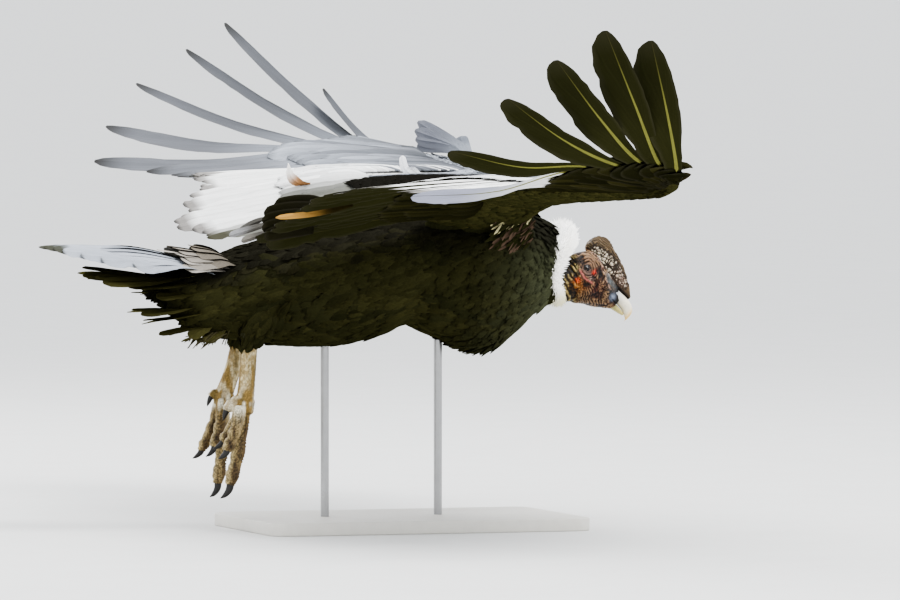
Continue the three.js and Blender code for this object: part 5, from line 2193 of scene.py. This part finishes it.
    def build(self, finishes: Finishes) -> None:
        """Makes the bill and the eyes.

        Args:
            finishes: The materials.
        """
        for name, stations, slot in (
            ("bill_upper", BILL_UPPER, "bill_horn"), ("bill_lower", BILL_LOWER, "mandible_horn"),
        ):
            obj = loft(name + "_horn", self.ridge(stations, 32, 0.92))
            apply_modifier(obj, "SUBSURF", levels=1, render_levels=1)
            points, _ = corners(obj)
            f, _, u = face_axes(points)
            upper = name == "bill_upper"
            if upper:
                ivory = dye(srgb(0.80, 0.79, 0.76), srgb(0.90, 0.87, 0.78), smooth(f, 70, 90))
            else:
                ivory = dye(srgb(0.60, 0.58, 0.36), srgb(0.74, 0.68, 0.42), smooth(f, 74, 98))
            ivory = dye(ivory, srgb(0.86, 0.70, 0.34), smooth(f, 100, 111) * 0.85)
            base = 1 - smooth(f + 0.4 * (u - 12), 65, 76)
            paint(obj, dye(ivory, srgb(0.46, 0.50, 0.57), base * (0.8 if upper else 0.4)))
            dress(obj, finishes.horn, slot, name)
        for side in Side:
            self.eye(finishes, side)

    def eye(self, finishes: Finishes, side: Side) -> None:
        """Makes one eye: a ball with a cornea that swells a little, iris and pupil.

        Args:
            finishes: The materials.
            side: Left or right.
        """
        centre = face_point(EYE[0], side.value * (EYE[1] - self.sunk), EYE[2])
        obj = primitive(
            f"eye_{side.label}_ball", bpy.ops.mesh.primitive_uv_sphere_add, segments=40, ring_count=28,
            radius=EYE[3] * MM, location=Vector(in_frame(centre)), rotation=(math.radians(90), 0, 0),
        )
        bpy.ops.object.shade_smooth()
        points, _ = corners(obj)
        local = points - centre
        ring = np.hypot(local[:, 0], local[:, 2])
        front = local[:, 1] * side.value > 0
        points[:, 1] += side.value * 0.9 * (1 - smooth(ring, 0, 5.2)) * front
        move_corners(obj, points)
        iris = dye(srgb(0.15, 0.09, 0.06), srgb(0.07, 0.05, 0.04), smooth(ring, 2.4, 5.0))
        tint = dye(iris, srgb(0.13, 0.11, 0.10), smooth(ring, 5.2, 5.8))
        paint(obj, dye(tint, srgb(0.02, 0.02, 0.02), 1 - smooth(ring, 1.9, 2.3)))
        dress(obj, finishes.eye, "eye_gloss", f"eye_{side.label}")


@dataclass(frozen=True)
class Toe:
    """One toe's line, radius and length of claw."""

    name: str
    start: tuple[float, float, float]
    end: tuple[float, float, float]
    radius: float
    claw: float


@dataclass(frozen=True)
class Leg:
    """One leg's driving lines, on the left side's axes."""

    thigh: tuple[tuple[float, float, float, float], ...]
    shank: tuple[tuple[float, float, float], ...]
    toes: tuple[Toe, ...]


LEGS = {
    Side.LEFT: Leg(
        ((-292, 48, 0, 44), (-302, 52, -20, 40), (-313, 56, -40, 32), (-323, 59, -58, 20)),
        ((-318, 60, -46), (-324, 60, -60), (-336, 60, -105), (-351, 60, -146)),
        (
            Toe("middle", (-353, 60, -152), (-362, 60, -284), 9.6, 27),
            Toe("inner", (-358, 50, -152), (-373, 44, -226), 8.2, 22),
            Toe("outer", (-355, 72, -154), (-383, 80, -233), 8.2, 20),
            Toe("hind", (-352, 60, -143), (-371, 60, -150), 7.6, 16),
        ),
    ),
    Side.RIGHT: Leg(
        ((-300, 48, 0, 44), (-314, 52, -20, 40), (-328, 56, -40, 32), (-341, 59, -58, 20)),
        ((-345, 60, -46), (-346, 60, -58), (-348, 60, -100), (-353, 60, -153)),
        (
            Toe("middle", (-355, 60, -158), (-378, 60, -280), 10, 27),
            Toe("inner", (-358, 50, -158), (-384, 40, -214), 8.4, 20),
            Toe("outer", (-364, 70, -158), (-390, 82, -226), 9, 20),
            Toe("hind", (-360, 60, -148), (-382, 60, -166), 8.4, 16),
        ),
    ),
}


@dataclass
class Legs:
    """Bare shanks and feet with scutes, and the claws."""

    radii: tuple[float, ...] = (13.6, 13.4, 13.0, 12.6, 12.8, 14.0)
    ankle: tuple[float, ...] = (13, 16.5, 14)
    pads: tuple[float, ...] = (1.0, 1.08, 0.86, 1.06, 0.86, 1.04, 0.66)  # along a toe, over its radius
    taper: tuple[float, ...] = (0.6, 0.6, 0.56, 0.47, 0.36, 0.22, 0.06)  # along a claw, over its toe's
    voxel: float = 0.0017
    scute: float = 5.0
    toe_scute: float = 4.6

    @staticmethod
    def toe_path(toe: Toe, side: Side) -> Path:
        """The line of one toe on one side.

        Args:
            toe: The toe.
            side: Left or right.

        Returns:
            Its line.
        """
        bend = np.array((-3.0, 0, 3.0)) if toe.name == "hind" else np.array((5.0, 0, 0))
        start, end = np.array(toe.start), np.array(toe.end)
        points = [mix(start, end, t) + bend * math.sin(3 * t) for t in (0, 0.4, 0.75, 1)]
        return Path([p * (1, side.value, 1) for p in points])

    @staticmethod
    def tube(
        name: str, path: Path, radii: Sequence[float], sides: int = 20, flat: float = 1.0
    ) -> Piece:
        """Round form along a line.

        Args:
            name: Name of the object.
            path: Its line.
            radii: Radii at even steps.
            sides: Corners in a ring.
            flat: Width across over depth.

        Returns:
            The object.
        """
        t = np.linspace(0, 1, 8 * len(radii))
        radius = np.interp(t, np.linspace(0, 1, len(radii)), radii)
        along = path.tangent(t)
        across = unit(np.cross(np.array((1.0, 0, 0.2)), along))
        up = np.cross(along, across)
        c, s = np.cos(turn(sides))[None, :, None], np.sin(turn(sides))[None, :, None]
        ring = across[:, None] * c * flat + up[:, None] * s
        return loft(name, path.at(t)[:, None] + ring * radius[:, None, None])

    @staticmethod
    def beats(points: Array, lines: Iterable[tuple[Path, float, float]]) -> Array:
        """Where each place lies among the scutes of its nearest line.

        Args:
            points: Places on the leg.
            lines: Each line with its length and the length of its scutes.

        Returns:
            Number of scutes from the line's start.
        """
        t = np.linspace(0, 1, 60)
        best, beat = np.full(len(points), 1e9), np.zeros(len(points))
        for path, length, scute in lines:
            gap = np.linalg.norm(points[:, None] - path.at(t)[None], axis=-1)
            distance = gap.min(axis=1)
            closer = distance < best
            best = np.where(closer, distance, best)
            beat = np.where(closer, t[gap.argmin(axis=1)] * length / scute, beat)
        return beat

    @staticmethod
    def relief(points: Array, normals: Array, beat: Array) -> tuple[Array, Array]:
        """Height of scutes before and scales behind.

        Args:
            points: Places on the leg.
            normals: Its directions outwards.
            beat: Number of scutes from the line's start.

        Returns:
            Height over the plain leg, and how far each place is out of a furrow.
        """
        front = smooth(normals[:, 0], 0.15, 0.6)
        plate = np.abs(np.sin(np.pi * beat)) ** 0.45
        scale = pebbles(points, 2.9, 31)
        toes = smooth(-points[:, 2], 156, 176)
        height = front * (plate - 0.6) * (1.0 + 1.4 * toes)
        height += (1 - front) * (scale - 0.5) * (0.45 + 0.4 * toes)
        pads = smooth(-normals[:, 0], 0.2, 0.8) * smooth(-points[:, 2], 165, 185)
        height += pads * 1.4 * np.abs(np.sin(np.pi * beat / 3.4))
        return height, np.where(front > 0.5, plate, scale)

    @staticmethod
    def colour(points: Array, normals: Array, relief: Array) -> Array:
        """Colours of a leg: pale and streaked above, browner on the toes, with painted shade in the
        furrows.

        Args:
            points: Places on the leg.
            normals: Its directions outwards.
            relief: How far each place is out of a furrow.

        Returns:
            The colours.
        """
        z = points[:, 2]
        toes, low = smooth(-z, 156, 176), smooth(-z, 158, 200)
        streak = smooth(noise(points * (1.0, 1.0, 0.16), 6.0, 61), -0.35, 0.35)
        fleck = smooth(noise(points * (1.0, 1.0, 0.5), 2.4, 63), -0.5, 0.6)
        stain = smooth(noise(points * (1.0, 1.0, 0.1), 5.0, 67), 0.1, 0.6)
        blotch = smooth(noise(points, 14, 8), 0.0, 0.6)
        base = dye(srgb(0.55, 0.45, 0.25), srgb(0.86, 0.80, 0.64), streak * (0.25 + 0.7 * fleck))
        base = dye(base, srgb(0.36, 0.32, 0.17), 0.5 * stain)
        base = dye(base, srgb(0.92, 0.90, 0.82), 0.85 * bell(z, -158, 17.0) * streak)
        base = dye(base, dye(srgb(0.36, 0.29, 0.19), srgb(0.60, 0.52, 0.36), streak), low)
        base = dye(base, srgb(0.28, 0.22, 0.15), low * blotch * 0.8)
        base = dye(base, srgb(0.80, 0.72, 0.52), smooth(-normals[:, 0], 0.35, 0.9) * low * 0.6)
        # Painted shade: darker in the furrows between scutes and scales, most of all on the toes.
        tint = dye(base * (0.62 - 0.3 * toes)[:, None], base, smooth(relief, 0.15, 0.6))
        return dye(tint, Tone.BLACK.linear, smooth(z, -64, -55))

    def skin_part(self, side: Side) -> Piece:
        """One shank and foot as one finely modelled form with its colours.

        Args:
            side: Left or right.

        Returns:
            The painted form.
        """
        shank = Path([np.array(p) * (1, side.value, 1) for p in LEGS[side].shank])
        low = shank.at(1.0)
        ankle = Path((low + (1, 0, 8), low, low - (2, 0, 16)))
        forms = [self.tube("shank_form", shank, self.radii), self.tube("ankle_form", ankle, self.ankle)]
        lines = []
        for toe in LEGS[side].toes:
            path = self.toe_path(toe, side)
            lines.append((path, float(np.linalg.norm(path.at(1.0) - path.at(0.0))), self.toe_scute))
            forms.append(self.tube("toe_form", path, [toe.radius * share for share in self.pads]))
        obj = fuse("leg_skin_form", forms, self.voxel, 3)
        points, normals = corners(obj)
        beat = self.beats(points, (*lines, (shank, 100.0, self.scute)))
        height, out_of_furrow = self.relief(points, normals, beat)
        move_corners(obj, points + normals * height[:, None])
        paint(obj, self.colour(points, normals, out_of_furrow))
        return obj

    def build(self, finishes: Finishes) -> None:
        """Makes the claws.

        Args:
            finishes: The materials.
        """
        for side in Side:
            for toe in LEGS[side].toes:
                path = self.toe_path(toe, side)
                end, along = path.at(1.0), unit(path.at(1.0) - path.at(0.8))
                hook = np.array((-0.1, 0, -1.0) if toe.name == "hind" else (-1.0, 0, 0.1))
                start, reach = end - along * 6, along * toe.claw
                line = Path((
                    start, start + reach * 0.5 - hook, start + reach * 0.85 + hook * toe.claw * 0.12,
                    start + reach * 1.04 + hook * toe.claw * 0.32,
                ))
                radii = [toe.radius * share for share in self.taper]
                obj = self.tube(f"claw_{side.label}_{toe.name}_horn", line, radii, 18, 0.8)
                dress(obj, finishes.claw, "claw_horn", f"claw_{side.label}_{toe.name}")


@dataclass
class Skin:
    """The one skin under the coat, from the head to the feet."""

    voxel: float = 0.0085

    def build(self, finishes: Finishes, torso: Torso, wings: list[Wing], head: Head, legs: Legs) -> None:
        """Fuses the flesh of the body and joins the finely modelled head and legs to it.

        Args:
            finishes: The materials.
            torso: Torso and thighs.
            wings: Both wings.
            head: Head, neck and comb.
            legs: Shanks and feet.
        """
        forms = [*torso.skin_parts(), *(wing.skin_part() for wing in wings)]
        body = fuse("skin", forms, self.voxel, 3)
        paint(body, np.tile(Tone.BLACK.linear, (len(body.data.vertices), 1)))
        pieces = [(body, finishes.under), (head.skin_part(), finishes.head)]
        pieces += [(legs.skin_part(side), finishes.leg) for side in Side]
        for obj, material in pieces:
            obj.data.materials.clear()
            obj.data.materials.append(material)
        select_only(*(obj for obj, _ in pieces))
        bpy.ops.object.join()
        limbs = [f"{part}_{side.label}" for part in ("tarsus", "foot") for side in Side]
        dress(body, finishes.under, "head_skin", "neck", "head", "comb", *limbs)


@dataclass
class Stand:
    """Flat base and two rods."""

    length: float = 0.520
    width: float = 0.340
    thick: float = 0.020
    corner: float = 0.026
    rounding: float = 0.002

    def round_corners(self, board: Piece) -> None:
        """Rounds the board's four upright edges.

        Args:
            board: The board.
        """
        bpy.ops.object.mode_set(mode="EDIT")
        bpy.ops.mesh.select_mode(type="EDGE")
        bpy.ops.mesh.select_all(action="DESELECT")
        bpy.ops.object.mode_set(mode="OBJECT")
        for edge in board.data.edges:
            a, b = (board.data.vertices[i].co for i in edge.vertices)
            edge.select = abs(a.z - b.z) > self.thick / 2
        bpy.ops.object.mode_set(mode="EDIT")
        bpy.ops.mesh.bevel(offset=self.corner, segments=10, affect="EDGES")
        bpy.ops.object.mode_set(mode="OBJECT")

    def build(self, finishes: Finishes) -> None:
        """Makes the base board and the rods.

        Args:
            finishes: The materials.
        """
        board = primitive(
            "stand_board", bpy.ops.mesh.primitive_cube_add, size=1, location=(0, 0, self.thick / 2),
            scale=(self.length, self.width, self.thick),
        )
        self.round_corners(board)
        rim = {"width": self.rounding, "segments": 3, "angle_limit": math.radians(50)}
        apply_modifier(board, "BEVEL", limit_method="ANGLE", **rim)
        bpy.ops.object.shade_smooth_by_angle(angle=math.radians(35))
        dress(board, finishes.board, "stand_board", "stand_base")
        for name in ("front", "rear"):
            low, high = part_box(f"stand_rod_{name}")
            middle = (low + high) / 2
            rod = primitive(
                f"stand_rod_{name}_steel", bpy.ops.mesh.primitive_cylinder_add, vertices=48,
                radius=(high.x - low.x) / 2, depth=high.z - low.z, location=middle,
            )
            bpy.ops.object.shade_smooth_by_angle(angle=math.radians(35))
            dress(rod, finishes.steel, "stand_steel", f"stand_rod_{name}")


@dataclass(frozen=True)
class Lamp:
    """One area light."""

    name: str
    place: tuple[float, float, float]
    size: float
    power: float


@dataclass
class Studio:
    """Floor, lights and camera at the photograph's angle."""

    distance: float = 15.0
    azimuth: float = math.radians(18)
    elevation: float = math.radians(2)
    lens: float = 384.0
    floor_size: float = 1600.0
    sky: tuple[float, float, float, float] = (0.94, 0.96, 1.0, 1.0)
    sky_strength: float = 1.8
    aim: tuple[float, float, float] = (0.05, 0, 0.4)
    lamps: tuple[Lamp, ...] = (
        Lamp("key", (0.8, -2.4, 4.6), 2.6, 260), Lamp("back", (-1.5, 3.5, 3.4), 2.5, 150),
    )

    def build(self, finishes: Finishes) -> None:
        """Makes the studio.

        Args:
            finishes: The materials.
        """
        floor = primitive("floor", bpy.ops.mesh.primitive_plane_add, size=self.floor_size)
        floor.data.materials.append(finishes.floor)
        world = bpy.data.worlds.new("studio")
        bpy.context.scene.world = world
        world.use_nodes = True
        background = world.node_tree.nodes["Background"]
        background.inputs["Color"].default_value = self.sky
        background.inputs["Strength"].default_value = self.sky_strength
        for lamp in self.lamps:
            light = bpy.data.lights.new(lamp.name, "AREA")
            light.size, light.energy = lamp.size, lamp.power
            obj = bpy.data.objects.new(lamp.name, light)
            bpy.context.scene.collection.objects.link(obj)
            obj.location = lamp.place
            beam = Vector(self.aim) - Vector(lamp.place)
            obj.rotation_euler = beam.to_track_quat("-Z", "Y").to_euler()
        self.camera()

    def camera(self) -> None:
        """Makes the camera."""
        target = Vector((BIRD_AT * MM).tolist())
        flat, down = math.cos(self.elevation), -math.sin(self.elevation)
        forward = Vector((math.sin(self.azimuth) * flat, math.cos(self.azimuth) * flat, down))
        data = bpy.data.cameras.new("camera")
        data.lens, data.sensor_width, data.sensor_fit = self.lens, 36.0, "HORIZONTAL"
        data.clip_end = 2000.0
        camera = bpy.data.objects.new("camera", data)
        bpy.context.scene.collection.objects.link(camera)
        camera.location = target - forward * self.distance
        camera.rotation_euler = forward.to_track_quat("-Z", "Y").to_euler()
        bpy.context.scene.camera = camera


def main() -> None:
    """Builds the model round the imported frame."""
    logging.basicConfig(level=logging.INFO, format="%(message)s")
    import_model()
    finishes = Finishes()
    torso, head, legs = Torso(), Head(), Legs()
    wings = [Wing(side) for side in Side]
    Skin().build(finishes, torso, wings, head, legs)
    torso.build(finishes)
    for wing in wings:
        wing.build(finishes)
    Tail().build(finishes)
    Strays().build(finishes)
    Ruff().build(finishes)
    head.build(finishes)
    legs.build(finishes)
    Stand().build(finishes)
    Studio().build(finishes)
    bpy.context.scene.view_settings.look = "AgX - Medium High Contrast"


if __name__ == "__main__":
    main()
